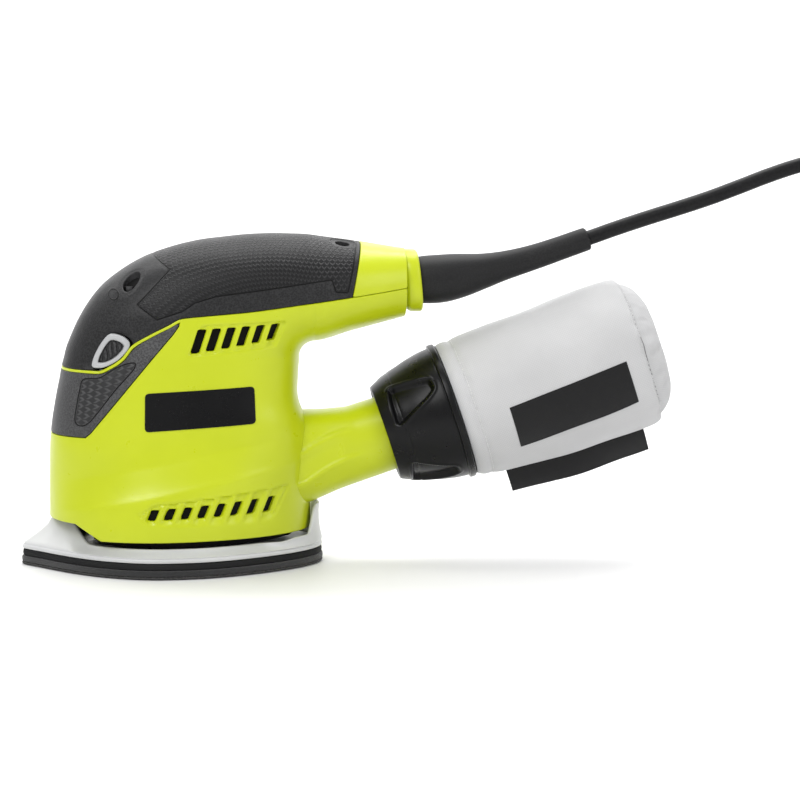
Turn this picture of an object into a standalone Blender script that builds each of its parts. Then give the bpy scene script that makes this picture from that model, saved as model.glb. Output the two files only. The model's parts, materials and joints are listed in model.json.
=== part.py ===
"""Detail mouse sander: corded palm sander with a pointed orbiting pad, a dust
port with a collar and cloth bag, and a mains lead.

Frame: metres, +Z up.  The origin is the centre of the sanding face, under the
motor axis.  -X is the pointed nose, +X the handle's tail with the lead and bag,
-Y the side with the O mark of the switch.
Lengths in this file are in millimetres and turned into metres by MM.
"""
import math

import bmesh
import bpy
import numpy as np
from mathutils import Matrix, Vector

# ---------------------------------------------------------------- dimensions
MM = 0.001
GAP = 0.3                 # clearance between touching pieces

PAD_LENGTH = 140.0        # tip to rear of the sanding face
PAD_TIP_X = -78.5
PAD_REAR_X = 61.5
PAD_HALF_WIDTH = 49.2
SHEET_T = 0.9             # abrasive sheet
FOAM_T = 2.4              # hook-and-loop foam
BACKING_T = 3.0           # rubber backing pad
PLATEN_Z = SHEET_T + FOAM_T + BACKING_T + 3 * GAP

ORBIT_R = 0.8             # eccentricity: 1.6 mm orbit
SHAFT_R = 4.0
PIN_R = 4.0

HOUSING_Z = 15.9          # lower edge of the housing at the sides
NOSE_NOTCH_Z = 22.4       # raised lower edge under the nose
WALL = 3.6                # moulded wall where a skin is laid over it
SKIN = 1.5                # soft skin thickness
PIVOT = (57.0, 96.5)      # inner corner between trunk and handle (x, z)

PORT_TILT = math.radians(18.2)
PORT_R_OUT = 17.4
PORT_R_IN = 14.4
PORT_ROOT = (40.0, 43.7)  # a point on the port's axis (x, z)
COLLAR_START = 53.0       # distances along the port's axis from PORT_ROOT
COLLAR_LENGTH = 34.6
BAG_LENGTH = 97.2

SWITCH_TRAVEL = 5.0
BAG_TRAVEL = 60.0

CORD_D = 7.0
CORD_LENGTH = 1800.0
COIL_C = (347.0, 0.0)
COIL_MID_R = 38.5
COIL_H = 20.0

# ------------------------------------------------------------- scene helpers
for o in list(bpy.data.objects):
    bpy.data.objects.remove(o, do_unlink=True)

parts = bpy.data.collections.new("detail_mouse_sander")
cutters = bpy.data.collections.new("cutters")
bpy.context.scene.collection.children.link(parts)
bpy.context.scene.collection.children.link(cutters)


def material(name, rgb, rough, metal=0.0):
    m = bpy.data.materials.get(name)
    if m is None:
        m = bpy.data.materials.new(name)
        m.use_nodes = True
        b = m.node_tree.nodes["Principled BSDF"]
        b.inputs["Base Color"].default_value = (*rgb, 1.0)
        b.inputs["Roughness"].default_value = rough
        b.inputs["Metallic"].default_value = metal
    return m


GREEN = ("green_plastic", (0.53, 0.65, 0.01), 0.35)
DARK = ("dark_overmold", (0.045, 0.045, 0.047), 0.55)
BLACK = ("black_plastic", (0.015, 0.015, 0.016), 0.35)
RUBBER = ("black_rubber", (0.02, 0.02, 0.02), 0.7)
GREY = ("light_grey_plastic", (0.62, 0.62, 0.60), 0.35)
STEEL = ("steel", (0.6, 0.6, 0.6), 0.3, 1.0)
COPPER = ("copper", (0.75, 0.35, 0.15), 0.35, 1.0)
ALU = ("aluminium", (0.75, 0.75, 0.75), 0.4, 1.0)
LAMIN = ("laminated_iron", (0.35, 0.35, 0.37), 0.5, 1.0)
CLOTH = ("bag_cloth", (0.78, 0.78, 0.78), 0.9)
FELT = ("hook_foam", (0.03, 0.03, 0.03), 0.9)
ABRASIVE = ("abrasive", (0.02, 0.02, 0.02), 0.95)
BRASS = ("brass", (0.75, 0.55, 0.2), 0.35, 1.0)
CARBON = ("carbon", (0.04, 0.04, 0.04), 0.6)


def add_mesh(name, bm, mat=None, group=None, smooth=35.0):
    """Object from a bmesh in millimetres."""
    bmesh.ops.recalc_face_normals(bm, faces=bm.faces[:])
    bmesh.ops.scale(bm, vec=(MM, MM, MM), verts=bm.verts[:])
    me = bpy.data.meshes.new(name)
    bm.to_mesh(me)
    bm.free()
    ob = bpy.data.objects.new(name, me)
    (group or parts).objects.link(ob)
    if mat:
        me.materials.append(material(*mat))
    if smooth:
        me.shade_smooth()
        me.set_sharp_from_angle(angle=math.radians(smooth))
    if group is cutters:
        ob.hide_render = True
        ob.display_type = "WIRE"
    return ob


def bake(ob):
    """Replace an object's mesh with its evaluated mesh."""
    dg = bpy.context.evaluated_depsgraph_get()
    dg.update()
    me = bpy.data.meshes.new_from_object(ob.evaluated_get(dg))
    old = ob.data
    ob.modifiers.clear()
    ob.data = me
    bpy.data.meshes.remove(old)
    me.name = ob.name


def boolean(ob, tool, op="DIFFERENCE", drop=False):
    m = ob.modifiers.new("bool", "BOOLEAN")
    m.operation = op
    m.object = tool
    m.solver = "EXACT"
    bake(ob)
    if drop:
        bpy.data.objects.remove(tool, do_unlink=True)
    return ob


def tidy(ob, dist=0.004, smooth=35.0):
    """Weld slivers that a cut leaves and restore the shading."""
    bm = bmesh.new()
    bm.from_mesh(ob.data)
    bmesh.ops.remove_doubles(bm, verts=bm.verts[:], dist=dist * MM)
    bmesh.ops.dissolve_degenerate(bm, edges=bm.edges[:], dist=dist * MM)
    bm.to_mesh(ob.data)
    bm.free()
    if smooth:
        ob.data.shade_smooth()
        ob.data.set_sharp_from_angle(angle=math.radians(smooth))


def copy_of(ob, name, group=None, mat=None):
    c = ob.copy()
    c.data = ob.data.copy()
    c.name = name
    c.data.name = name
    (group or parts).objects.link(c)
    if mat:
        c.data.materials.clear()
        c.data.materials.append(material(*mat))
    if group is cutters:
        c.hide_render = True
        c.display_type = "WIRE"
    else:
        c.hide_render = False
        c.display_type = "TEXTURED"
    return c


def loft(rings, closed_loop=False):
    """bmesh through rings of points, capped at both ends."""
    bm = bmesh.new()
    rows = [[bm.verts.new(p) for p in ring] for ring in rings]
    n = len(rows[0])
    pairs = list(zip(rows, rows[1:]))
    if closed_loop:
        pairs.append((rows[-1], rows[0]))
    for a, b in pairs:
        for i in range(n):
            j = (i + 1) % n
            bm.faces.new((a[i], a[j], b[j], b[i]))
    if not closed_loop:
        bm.faces.new(rows[0][::-1])
        bm.faces.new(rows[-1])
    return bm


def prism(points, y0, y1):
    """Side-profile outline (x, z) pushed from y0 to y1."""
    return loft([[(x, y0, z) for x, z in points], [(x, y1, z) for x, z in points]])


def plate(points, z0, z1):
    """Plan outline (x, y) pushed from z0 to z1."""
    return loft([[(x, y, z0) for x, y in points], [(x, y, z1) for x, y in points]])


def circle(r, n, cx=0.0, cy=0.0, phase=0.0):
    return [(cx + r * math.cos(2 * math.pi * (i + phase) / n),
             cy + r * math.sin(2 * math.pi * (i + phase) / n)) for i in range(n)]


def axis_matrix(origin, direction):
    q = Vector(direction).normalized().to_track_quat("Z", "Y")
    return Matrix.Translation(Vector(origin)) @ q.to_matrix().to_4x4()


def cylinder(r, h, n=24, origin=(0, 0, 0), direction=(0, 0, 1), r2=None):
    bm = bmesh.new()
    bmesh.ops.create_cone(bm, cap_ends=True, segments=n, radius1=r,
                          radius2=r if r2 is None else r2, depth=h)
    bmesh.ops.translate(bm, vec=(0, 0, h / 2), verts=bm.verts[:])
    bmesh.ops.transform(bm, matrix=axis_matrix(origin, direction), verts=bm.verts[:])
    return bm


def turned(profile, n=24, origin=(0, 0, 0), direction=(0, 0, 1), closed=False):
    """Solid of revolution about its own Z from (r, z) pairs; closed makes a ring."""
    rings = [[(r * math.cos(2 * math.pi * i / n), r * math.sin(2 * math.pi * i / n), z)
              for i in range(n)] for r, z in profile]
    bm = loft(rings, closed_loop=closed)
    bmesh.ops.transform(bm, matrix=axis_matrix(origin, direction), verts=bm.verts[:])
    return bm


def box(size, centre, bevel=0.0):
    bm = bmesh.new()
    bmesh.ops.create_cube(bm, size=1.0)
    bmesh.ops.scale(bm, vec=size, verts=bm.verts[:])
    bmesh.ops.translate(bm, vec=centre, verts=bm.verts[:])
    if bevel:
        bmesh.ops.bevel(bm, geom=bm.edges[:], offset=bevel, segments=1,
                        affect="EDGES", profile=0.5)
    return bm


def curve_function(table):
    """Monotone cubic through (station, value) pairs."""
    x = [p[0] for p in table]
    y = [p[1] for p in table]
    h = [b - a for a, b in zip(x, x[1:])]
    dl = [(b - a) / k for a, b, k in zip(y, y[1:], h)]
    m = [dl[0]]
    for i in range(1, len(x) - 1):
        if dl[i - 1] * dl[i] > 0:
            w1 = 2 * h[i] + h[i - 1]
            w2 = h[i] + 2 * h[i - 1]
            m.append((w1 + w2) / (w1 / dl[i - 1] + w2 / dl[i]))
        else:
            m.append(0.0)
    m.append(dl[-1])

    def f(s):
        s = min(max(s, x[0]), x[-1])
        i = 0
        while i < len(h) - 1 and s > x[i + 1]:
            i += 1
        u = (s - x[i]) / h[i]
        return (y[i] * (1 + 2 * u) * (1 - u) ** 2 + m[i] * h[i] * u * (1 - u) ** 2
                + y[i + 1] * u * u * (3 - 2 * u) + m[i + 1] * h[i] * u * u * (u - 1))
    return f


def smooth_path(points, count):
    """Evenly spaced points on a Catmull-Rom curve through the route's points."""
    p = [Vector(q) for q in points]
    p = [2 * p[0] - p[1]] + p + [2 * p[-1] - p[-2]]
    fine = []
    for a, b, c, d in zip(p, p[1:], p[2:], p[3:]):
        for k in range(24):
            t = k / 24
            fine.append(0.5 * ((2 * b) + (c - a) * t + (2 * a - 5 * b + 4 * c - d) * t * t
                               + (3 * b - a - 3 * c + d) * t ** 3))
    fine.append(p[-2])
    run = [0.0]
    for a, b in zip(fine, fine[1:]):
        run.append(run[-1] + (b - a).length)
    res, k = [], 0
    for i in range(count):
        s = run[-1] * i / (count - 1)
        while k < len(run) - 2 and run[k + 1] < s:
            k += 1
        t = (s - run[k]) / max(run[k + 1] - run[k], 1e-9)
        res.append(fine[k].lerp(fine[k + 1], t))
    return res


def tube(name, points, radius, mat, res=2):
    """Round wire along points (mm)."""
    cu = bpy.data.curves.new(name, "CURVE")
    cu.dimensions = "3D"
    cu.bevel_depth = radius * MM
    cu.bevel_resolution = res
    cu.use_fill_caps = True
    sp = cu.splines.new("POLY")
    sp.points.add(len(points) - 1)
    for q, p in zip(sp.points, points):
        q.co = (p[0] * MM, p[1] * MM, p[2] * MM, 1.0)
    sp.use_smooth = True
    cu.materials.append(material(*mat))
    ob = bpy.data.objects.new(name, cu)
    parts.objects.link(ob)
    return ob


# ------------------------------------------------------------ housing's form
# The housing is one swept form.  Stations run up the trunk (station = height),
# turn through 90 degrees about PIVOT, and run back along the handle.  Each
# table gives a radius measured from PIVOT's line, or a half width.
S_FAN = PIVOT[1]
S_HANDLE = PIVOT[1] + 90.0


def at_x(x):
    return S_HANDLE + x - PIVOT[0]


outer_r = curve_function([(16, 122.2), (22, 122.2), (35, 122.1), (52.7, 121.8), (62, 121.2),
                          (76, 119.1), (85.3, 117.2), (96.5, 114.7), (102.5, 111.2),
                          (108.5, 107.3), (114.5, 102.8), (120.5, 96.8), (126.5, 90.5),
                          (133.5, 82.8), (141.5, 75.0), (151.5, 67.0), (166.5, 59.7),
                          (176.5, 56.8), (186.5, 55.3), (at_x(65.4), 54.1),
                          (at_x(79.3), 52.2), (at_x(99.3), 49.0), (at_x(104), 48.5)])
inner_r = curve_function([(16, 1.4), (27, 1.4), (40, 1.6), (52, 1.8), (62, 2.6), (70, 4.6),
                          (76, 6.6), (80, 7.1), (89, 6.7), (96.5, 6.2), (150, 6.0),
                          (170, 6.1), (186.5, 6.3), (at_x(74.6), 10.8),
                          (at_x(97.9), 16.7), (at_x(104), 18.3)])
half_w = curve_function([(16, 45.3), (26, 45.0), (38, 44.0), (47, 41.6), (54, 39.0),
                         (62, 37.6), (76, 36.8), (90, 36.2), (96.5, 36.0), (112, 35.6),
                         (127, 34.8), (141, 33.8), (156, 32.6), (171, 31.4), (186.5, 30.2),
                         (at_x(70), 28.0), (at_x(85), 23.8), (at_x(98), 18.2),
                         (at_x(104), 15.6)])
widest_r = curve_function([(16, 71.0), (30, 69.0), (50, 66.0), (70, 64.0), (96.5, 61.0),
                           (120, 52.0), (141, 42.0), (165, 33.0), (186.5, 28.5),
                           (at_x(77), 30.0), (at_x(98), 32.5), (at_x(104), 33.2)])
power_out = curve_function([(16, 2.0), (40, 2.1), (60, 2.4), (96.5, 2.4), (130, 2.3),
                            (186.5, 2.15), (at_x(104), 2.1)])
power_in = curve_function([(16, 1.55), (40, 1.8), (56, 2.4), (70, 2.9), (96.5, 2.8),
                           (130, 2.6), (186.5, 2.3), (at_x(104), 2.1)])


def in_side_plane(s, r):
    if s <= S_FAN:
        return PIVOT[0] - r, s
    if s >= S_HANDLE:
        return PIVOT[0] + s - S_HANDLE, PIVOT[1] + r
    a = math.radians(s - S_FAN)
    return PIVOT[0] - r * math.cos(a), PIVOT[1] + r * math.sin(a)


RING_N = 22


def housing_ring(s, inset):
    ro = outer_r(s) - inset
    ri = inner_r(s) + inset
    w = half_w(s) - inset
    m = widest_r(s)
    pts = []
    for i in range(RING_N):
        a = 2 * math.pi * (i + 0.5) / RING_N
        c, q = math.cos(a), math.sin(a)
        n = power_out(s) if c > 0 else power_in(s)
        u = math.copysign(abs(c) ** (2 / n), c)
        v = math.copysign(abs(q) ** (2 / n), q)
        r = m + u * ((ro - m) if c > 0 else (m - ri))
        x, z = in_side_plane(s, r)
        pts.append((x, w * v, z))
    return pts


def housing_form(name, inset, s0, s1):
    stations = [s0, 30, 44, 53.4, 60.3, 76, S_FAN, 106, 116, 127, 140, 156,
                172, S_HANDLE, at_x(72), at_x(88)]
    stations = [s for s in stations if s0 <= s < s1 - 2] + [s1]
    bm = loft([housing_ring(s, inset) for s in stations])
    bmesh.ops.triangulate(bm, faces=[f for f in bm.faces if len(f.verts) == 4])
    return add_mesh(name, bm, group=cutters)


def end_ring(name, r_out_top, r_out_bot, w, x0, x1):
    """Short flange behind the handle, leaning back by 5.5 degrees."""
    lean = math.tan(math.radians(5.5))
    zc, hh = (r_out_top + r_out_bot) / 2, (r_out_top - r_out_bot) / 2
    rings = []
    for x in (x0, x1):
        rings.append([(x - hh * math.sin(a) * lean, w * math.cos(a), zc + hh * math.sin(a))
                      for a in [2 * math.pi * i / 20 for i in range(20)]])
    return add_mesh(name, loft(rings), group=cutters)


def port_point(d, off=0.0):
    """Point on the port's axis, off to its upper side."""
    c, s = math.cos(PORT_TILT), math.sin(PORT_TILT)
    return (PORT_ROOT[0] + d * c - off * s, 0.0, PORT_ROOT[1] + d * s + off * c)


PORT_DIR = (math.cos(PORT_TILT), 0.0, math.sin(PORT_TILT))

# side-profile lines of the mouldings (x, z)
PARTING = [(-80, 92.5), (-42, 92.5), (-36, 95.0), (-31, 98.5), (-26.5, 104.0), (-18, 109.2),
           (-9.9, 113.3), (-3.6, 116.4), (4.5, 117.2), (27, 119.0), (49.8, 121.6),
           (73.6, 124.6), (115, 129.9)]
SKIN_REAR = [(74.1, 124.9), (76.6, 137.1), (79.0, 148.5), (80.5, 160)]
BUMPER = [(-58.5, 62.0), (-47.8, 62.1), (-45.5, 64.1), (-36.3, 75.2), (-27.2, 86.2),
          (-18.1, 97.1), (-7.7, 109.2), (-6.7, 112.0)]


def shifted(points, dx, dz):
    return [(x + dx, z + dz) for x, z in points]


# solids at four depths from the outer surface
OUT = housing_form("form_outer", 0.0, 14.0, at_x(100.2))
ring_o = end_ring("form_ring", 144.8, 116.0, 14.3, 94.0, 106.8)
boolean(OUT, ring_o, "UNION", drop=True)
port_stub = add_mesh("form_port", cylinder(PORT_R_OUT, 78.0, 24, port_point(-2.0), PORT_DIR),
                     group=cutters)
boolean(OUT, port_stub, "UNION", drop=True)

SKIN_IN = housing_form("form_skin_in", SKIN, 12.0, at_x(100.2))
SEAT = housing_form("form_seat", SKIN + GAP, 12.0, at_x(100.2))
MIDWALL = housing_form("form_mid", 2.7, 11.0, at_x(98.2))
HOLLOW = housing_form("form_hollow", WALL, 10.0, at_x(96.5))
ring_i = end_ring("form_ring_bore", 141.6, 119.0, 11.3, 88.0, 109.0)
boolean(HOLLOW, ring_i, "UNION", drop=True)
bore = add_mesh("form_port_bore", cylinder(PORT_R_IN, 96.0, 20, port_point(-12.0), PORT_DIR),
                group=cutters)
boolean(HOLLOW, bore, "UNION", drop=True)

# lower edge of the housing: flat at the sides, stepped up under the nose
low_cut = add_mesh("cut_low", prism([(-90, 0), (-90, NOSE_NOTCH_Z), (-53.0, NOSE_NOTCH_Z),
                                     (-50.5, NOSE_NOTCH_Z - 0.8), (-43.5, HOUSING_Z + 0.8),
                                     (-41.0, HOUSING_Z), (65, HOUSING_Z), (65, 0)], -60, 60),
                   group=cutters)
upper = add_mesh("zone_upper", prism(PARTING + [(130, 175), (-80, 175)], -60, 60),
                 group=cutters)
lower = add_mesh("zone_lower", prism([(x, z - GAP) for x, z in PARTING][::-1]
                                     + [(-80, 0), (130, 0)], -60, 60), group=cutters)
skin_zone = add_mesh("zone_skin", prism(PARTING[:-2] + SKIN_REAR + [(-80, 175)], -60, 60),
                     group=cutters)
skin_gap = add_mesh("zone_skin_gap", prism(
    [(-82, 92.0)] + [(x, z - 1.0) for x, z in PARTING[:-2]][1:]
    + [(x + GAP, z) for x, z in SKIN_REAR] + [(-82, 175)], -60, 60), group=cutters)
bump_pts = [(-80, 62.0)] + BUMPER + [(x, z - GAP) for x, z in PARTING if -9.9 >= x > -80][::-1] \
    + [(-80, 92.5 - GAP)]
bump_zone = add_mesh("zone_bumper", prism(bump_pts, -60, 60), group=cutters)
bump_gap = add_mesh("zone_bumper_gap", prism(
    [(-82, 62.0 - GAP)] + [(x + 0.25, z - 0.25) for x, z in BUMPER]
    + [(-6.7, 113.6), (-9.9, 114.0)] + [(-18, 112.0), (-26.5, 107.0), (-42, 97.0), (-82, 97.0)],
    -60, 60), group=cutters)

# switch opening, a rounded triangle seen from the side, right through the nose
SWITCH_C = (-35.4, 100.2)
SWITCH_OUT = [(-44.9, 94.9), (-43.6, 93.6), (-39.3, 93.6), (-35.0, 95.5), (-31.4, 97.9),
              (-28.0, 101.6), (-26.6, 104.4), (-27.2, 106.4), (-30.0, 108.6), (-34.4, 109.8),
              (-37.0, 109.2), (-40.3, 105.2), (-43.4, 99.6)]


def about_switch(scale_mm):
    """The switch outline grown or shrunk by a margin."""
    cx, cz = SWITCH_C
    pts = []
    for x, z in SWITCH_OUT:
        d = math.hypot(x - cx, z - cz)
        k = (d + scale_mm) / d
        pts.append((cx + (x - cx) * k, cz + (z - cz) * k))
    return pts


switch_hole = add_mesh("cut_switch", prism(about_switch(0.5), -60, 60), group=cutters)

BADGE = [(-20.2, 66.5), (-19.3, 65.4), (28.6, 68.2), (29.5, 69.2), (28.9, 84.2), (28.0, 85.1),
         (-20.0, 82.6), (-21.0, 81.6)]
badge_zone = add_mesh("zone_badge", prism(BADGE, -60, 60), group=cutters)
badge_gap = add_mesh("zone_badge_gap", prism(
    [(4 + (x - 4) * 1.013, 75.4 + (z - 75.4) * 1.03) for x, z in BADGE], -60, 60),
    group=cutters)


def slots(n, x0, x1, zlo, zhi, lean, width):
    """Slanted vent slots between two straight lines of heights."""
    res = []
    for i in range(n):
        t = i / (n - 1)
        x = x0 + (x1 - x0) * t
        a = zlo[0] + (zlo[1] - zlo[0]) * t
        b = zhi[0] + (zhi[1] - zhi[0]) * t
        d = lean * (b - a)
        res.append([(x - width / 2, a), (x + width / 2, a), (x + d + width / 2, b),
                    (x + d - width / 2, b)])
    return res


UP_VENTS = slots(6, 2.2, 36.8, (100.8, 105.9), (111.2, 112.9), 0.33, 3.4)
LOW_VENTS = slots(8, -18.6, 34.4, (26.2, 27.6), (30.6, 33.8), 0.42, 3.3)


def cut_vents(ob):
    for i, pts in enumerate(UP_VENTS + LOW_VENTS):
        c = add_mesh("cut_vent", prism(pts, -60, 60), group=cutters)
        boolean(ob, c, drop=True)


# ------------------------------------------------------------ housing pieces
LEG_XY = [(-27.0, 23.0), (-27.0, -23.0), (19.0, 14.0), (19.0, -14.0)]
BASE_SCREWS = [(-37.0, 0.0), (33.0, 6.5), (33.0, -6.5)]
HEAD_SEAT = {"front_right": 127.5, "front_left": 127.5, "rear": 145.0}
COVER_SCREWS = [(-26.5, -18.0, "front_right"), (-26.5, 18.0, "front_left"), (70.0, 0.0, "rear")]

main = copy_of(OUT, "main_housing", mat=GREEN)
boolean(main, lower, "INTERSECT")
boolean(main, low_cut)
boolean(main, HOLLOW)
boolean(bump_gap, SEAT)
boolean(main, bump_gap)
boolean(badge_gap, SEAT)
boolean(main, badge_gap)
boolean(main, switch_hole)
# posts for the cover's screws, joined to the side walls by a rib, and a floor rib
rib_pts = []
for x, y, which in COVER_SCREWS:
    if which == "rear":
        post = add_mesh("post", cylinder(3.4, 20.0, 16, (x, y, 104.5)), group=cutters)
        hole = add_mesh("hole", cylinder(1.9, 14.0, 12, (x, y, 112.0)), group=cutters)
        boolean(post, hole, drop=True)
    else:
        post = add_mesh("post", cylinder(3.4, 13.0, 16, (x, y, 84.5)), group=cutters)
        rib = add_mesh("rib", box((2.4, 13.2, 8.0), (x, math.copysign(25.5, y), 88.6)),
                       group=cutters)
        boolean(post, rib, "UNION", drop=True)
        hole = add_mesh("hole", cylinder(1.9, 11.0, 12, (x, y, 87.5)), group=cutters)
        boolean(post, hole, drop=True)
    boolean(main, post, "UNION", drop=True)
cut_vents(main)
tidy(main)

cover = copy_of(OUT, "top_cover", mat=GREEN)
boolean(cover, upper, "INTERSECT")
boolean(cover, HOLLOW)
boolean(skin_gap, SEAT)
boolean(cover, skin_gap)
boolean(cover, switch_hole)

skin = copy_of(OUT, "grip_overmold", mat=DARK)
boolean(skin, SKIN_IN)
boolean(skin, skin_zone, "INTERSECT")
boolean(skin, switch_hole)
for x, y, which in COVER_SCREWS:
    seat_z = HEAD_SEAT[which]
    big = add_mesh("hole", cylinder(3.7, 40.0, 16, (x, y, seat_z)), group=cutters)
    boolean(skin, big)
    boss = add_mesh("boss", cylinder(5.4, 14.0, 16, (x, y, seat_z - 2.4)), group=cutters)
    boolean(boss, MIDWALL, "INTERSECT")
    boolean(cover, boss, "UNION", drop=True)
    boolean(cover, big, drop=True)
    small = add_mesh("hole", cylinder(2.1, 60.0, 12, (x, y, 112.0)), group=cutters)
    boolean(cover, small, drop=True)
tidy(cover)
tidy(skin)

bumper = copy_of(OUT, "nose_bumper", mat=DARK)
boolean(bumper, SKIN_IN)
boolean(bumper, bump_zone, "INTERSECT")
boolean(bumper, switch_hole)
tidy(bumper)

for side, y0, y1 in (("right", -60, -1), ("left", 1, 60)):
    b = copy_of(OUT, "side_badge_" + side, mat=BLACK)
    boolean(b, SKIN_IN)
    z = add_mesh("zone", prism(BADGE, y0, y1), group=cutters)
    boolean(b, z, "INTERSECT", drop=True)
    tidy(b)

for x, y, which in COVER_SCREWS:
    ztop = HEAD_SEAT[which] + GAP
    zbot = {"rear": 113.0}.get(which, 88.5)
    head = turned([(1.5, zbot), (1.5, ztop), (3.2, ztop), (3.2, ztop + 2.2), (1.6, ztop + 2.2),
                   (1.2, ztop + 1.0)], 14, (x, y, 0))
    add_mesh("cover_screw_" + which, head, STEEL)

# ------------------------------------------------------------- base and seal
def inner_outline(z, inset, n=28):
    """Plan outline of the housing at one height, inset from its surface."""
    s = z
    ro, ri = outer_r(s) - inset, inner_r(s) + inset
    w, m = half_w(s) - inset, widest_r(s)
    pts = []
    for i in range(n):
        a = 2 * math.pi * i / n
        c, q = math.cos(a), math.sin(a)
        k = power_out(s) if c > 0 else power_in(s)
        u = math.copysign(abs(c) ** (2 / k), c)
        v = math.copysign(abs(q) ** (2 / k), q)
        pts.append((PIVOT[0] - (m + u * ((ro - m) if c > 0 else (m - ri))), w * v))
    return pts


BASE_Z0, BASE_Z1 = 33.5, 37.5
base = add_mesh("base_plate", plate(inner_outline(36.5, WALL + 1.5), BASE_Z0, BASE_Z1), BLACK)
hub = add_mesh("hub", cylinder(14.0, 11.5, 24, (0, 0, BASE_Z0 - 4.5)), group=cutters)
boolean(base, hub, "UNION", drop=True)
hole = add_mesh("hole", cylinder(11.3, 12.0, 24, (0, 0, BASE_Z0 - 3.0)), group=cutters)
boolean(base, hole, drop=True)
hole = add_mesh("hole", cylinder(6.5, 40.0, 16, (0, 0, 10)), group=cutters)
boolean(base, hole, drop=True)
# four openings that let the fan's air out, between the hub and the rim
for k in range(6):
    a = math.radians(60 * k)
    c = add_mesh("hole", cylinder(4.0, 20, 12, (21.5 * math.cos(a), 21.5 * math.sin(a), 28)),
                 group=cutters)
    boolean(base, c, drop=True)
for i, (x, y) in enumerate(BASE_SCREWS):
    c = add_mesh("hole", cylinder(2.2, 20, 12, (x, y, 28)), group=cutters)
    boolean(base, c, drop=True)
    add_mesh("base_screw_%d" % (i + 1),
             turned([(3.2, BASE_Z0 - 2.6), (3.2, BASE_Z0 - GAP), (1.8, BASE_Z0 - GAP), (1.8, BASE_Z1 + 6.0),
                     (0.8, BASE_Z1 + 7.0)], 14, (x, y, 0)), STEEL)
tidy(base)

rim = inner_outline(20, WALL + 1.5, 28)
seal_o = [(x * 0.76 if x < 0 else x * 0.93, y * 0.91) for x, y in rim]
seal_i = [(x * 0.73 if x < 0 else x * 0.89, y * 0.87) for x, y in rim]
add_mesh("dust_seal", loft([[(x, y, 12.2) for x, y in seal_o],
                            [(x, y, BASE_Z0 - GAP) for x, y in seal_o],
                            [(x, y, BASE_Z0 - GAP) for x, y in seal_i],
                            [(x, y, 12.2) for x, y in seal_i]], closed_loop=True), RUBBER)

for i, (x, y) in enumerate(LEG_XY):
    add_mesh("flex_leg_%d" % (i + 1),
             turned([(5.0, 11.4), (5.0, 14.5), (3.2, 17.5), (3.2, 27.5), (5.0, 30.0),
                     (5.0, BASE_Z0 - GAP)], 16, (x, y, 0)), RUBBER)

# --------------------------------------------------------------------- motor
lam = [(29.0, 55.0), (29.0, 83.0), (18.6, 83.0), (18.6, 55.0)]
stator = add_mesh("stator_core", turned(lam, 28, closed=True), LAMIN)
for sx in (-1, 1):
    c = add_mesh("hole", box((14.0, 80.0, 60), (sx * 30.5, 0, 70)), group=cutters)
    boolean(stator, c, drop=True)
tidy(stator)


def arc_coil(name, sgn):
    """Field winding seen as a saddle of wire above and below a pole."""
    pts_o = [(26.5 * math.cos(a), 26.5 * math.sin(a)) for a in
             [math.radians(90 * sgn + d) for d in range(-48, 49, 12)]]
    pts_i = [(20.0 * math.cos(a), 20.0 * math.sin(a)) for a in
             [math.radians(90 * sgn + d) for d in range(48, -49, -12)]]
    return add_mesh(name, plate(pts_o + pts_i, 83.3, 88.6), COPPER)


arc_coil("field_coil_right", -1)
arc_coil("field_coil_left", 1)

add_mesh("lower_bearing", turned([(11.0, 31.2), (11.0, 38.0), (SHAFT_R + 0.3, 38.0),
                                  (SHAFT_R + 0.3, 31.2)], 24, closed=True), STEEL)
add_mesh("upper_bearing", turned([(8.0, 105.4), (8.0, 110.4), (SHAFT_R - 0.7, 110.4),
                                  (SHAFT_R - 0.7, 105.4)], 24, closed=True), STEEL)
brk = add_mesh("motor_bracket", turned([(11.5, 104.6), (11.5, 112.5), (8.3, 112.5), (8.3, 104.6)],
                                       24, closed=True), BLACK)
arm = add_mesh("arm", box((7.0, 62.0, 4.0), (0, 0, 108.5)), group=cutters)
core = add_mesh("hole", cylinder(8.3, 30.0, 24, (0, 0, 100)), group=cutters)
boolean(arm, core, drop=True)
boolean(brk, arm, "UNION", drop=True)
for sy in (-1, 1):
    leg = add_mesh("leg", box((7.0, 3.0, 24.0), (0, sy * 30.0, 97.5)), group=cutters)
    boolean(brk, leg, "UNION", drop=True)
tidy(brk)

BR_Z = 96.5
for side, sgn in (("right", -1), ("left", 1)):
    h = add_mesh("brush_holder_" + side, box((10.4, 14.0, 8.4), (0, sgn * 20.0, BR_Z)), BRASS)
    c = add_mesh("hole", box((7.0, 30.0, 5.0), (0, sgn * 20.0, BR_Z)), group=cutters)
    boolean(h, c, drop=True)
    add_mesh("carbon_brush_" + side, box((6.4, 11.0, 4.4), (0, sgn * (11.6 + 5.5), BR_Z)), CARBON)
    add_mesh("brush_spring_" + side, turned([(2.0, 22.9), (2.0, 26.6), (1.3, 26.6), (1.3, 22.9)],
                                            12, (0, 0, BR_Z), (0, sgn, 0), closed=True), STEEL)

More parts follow.
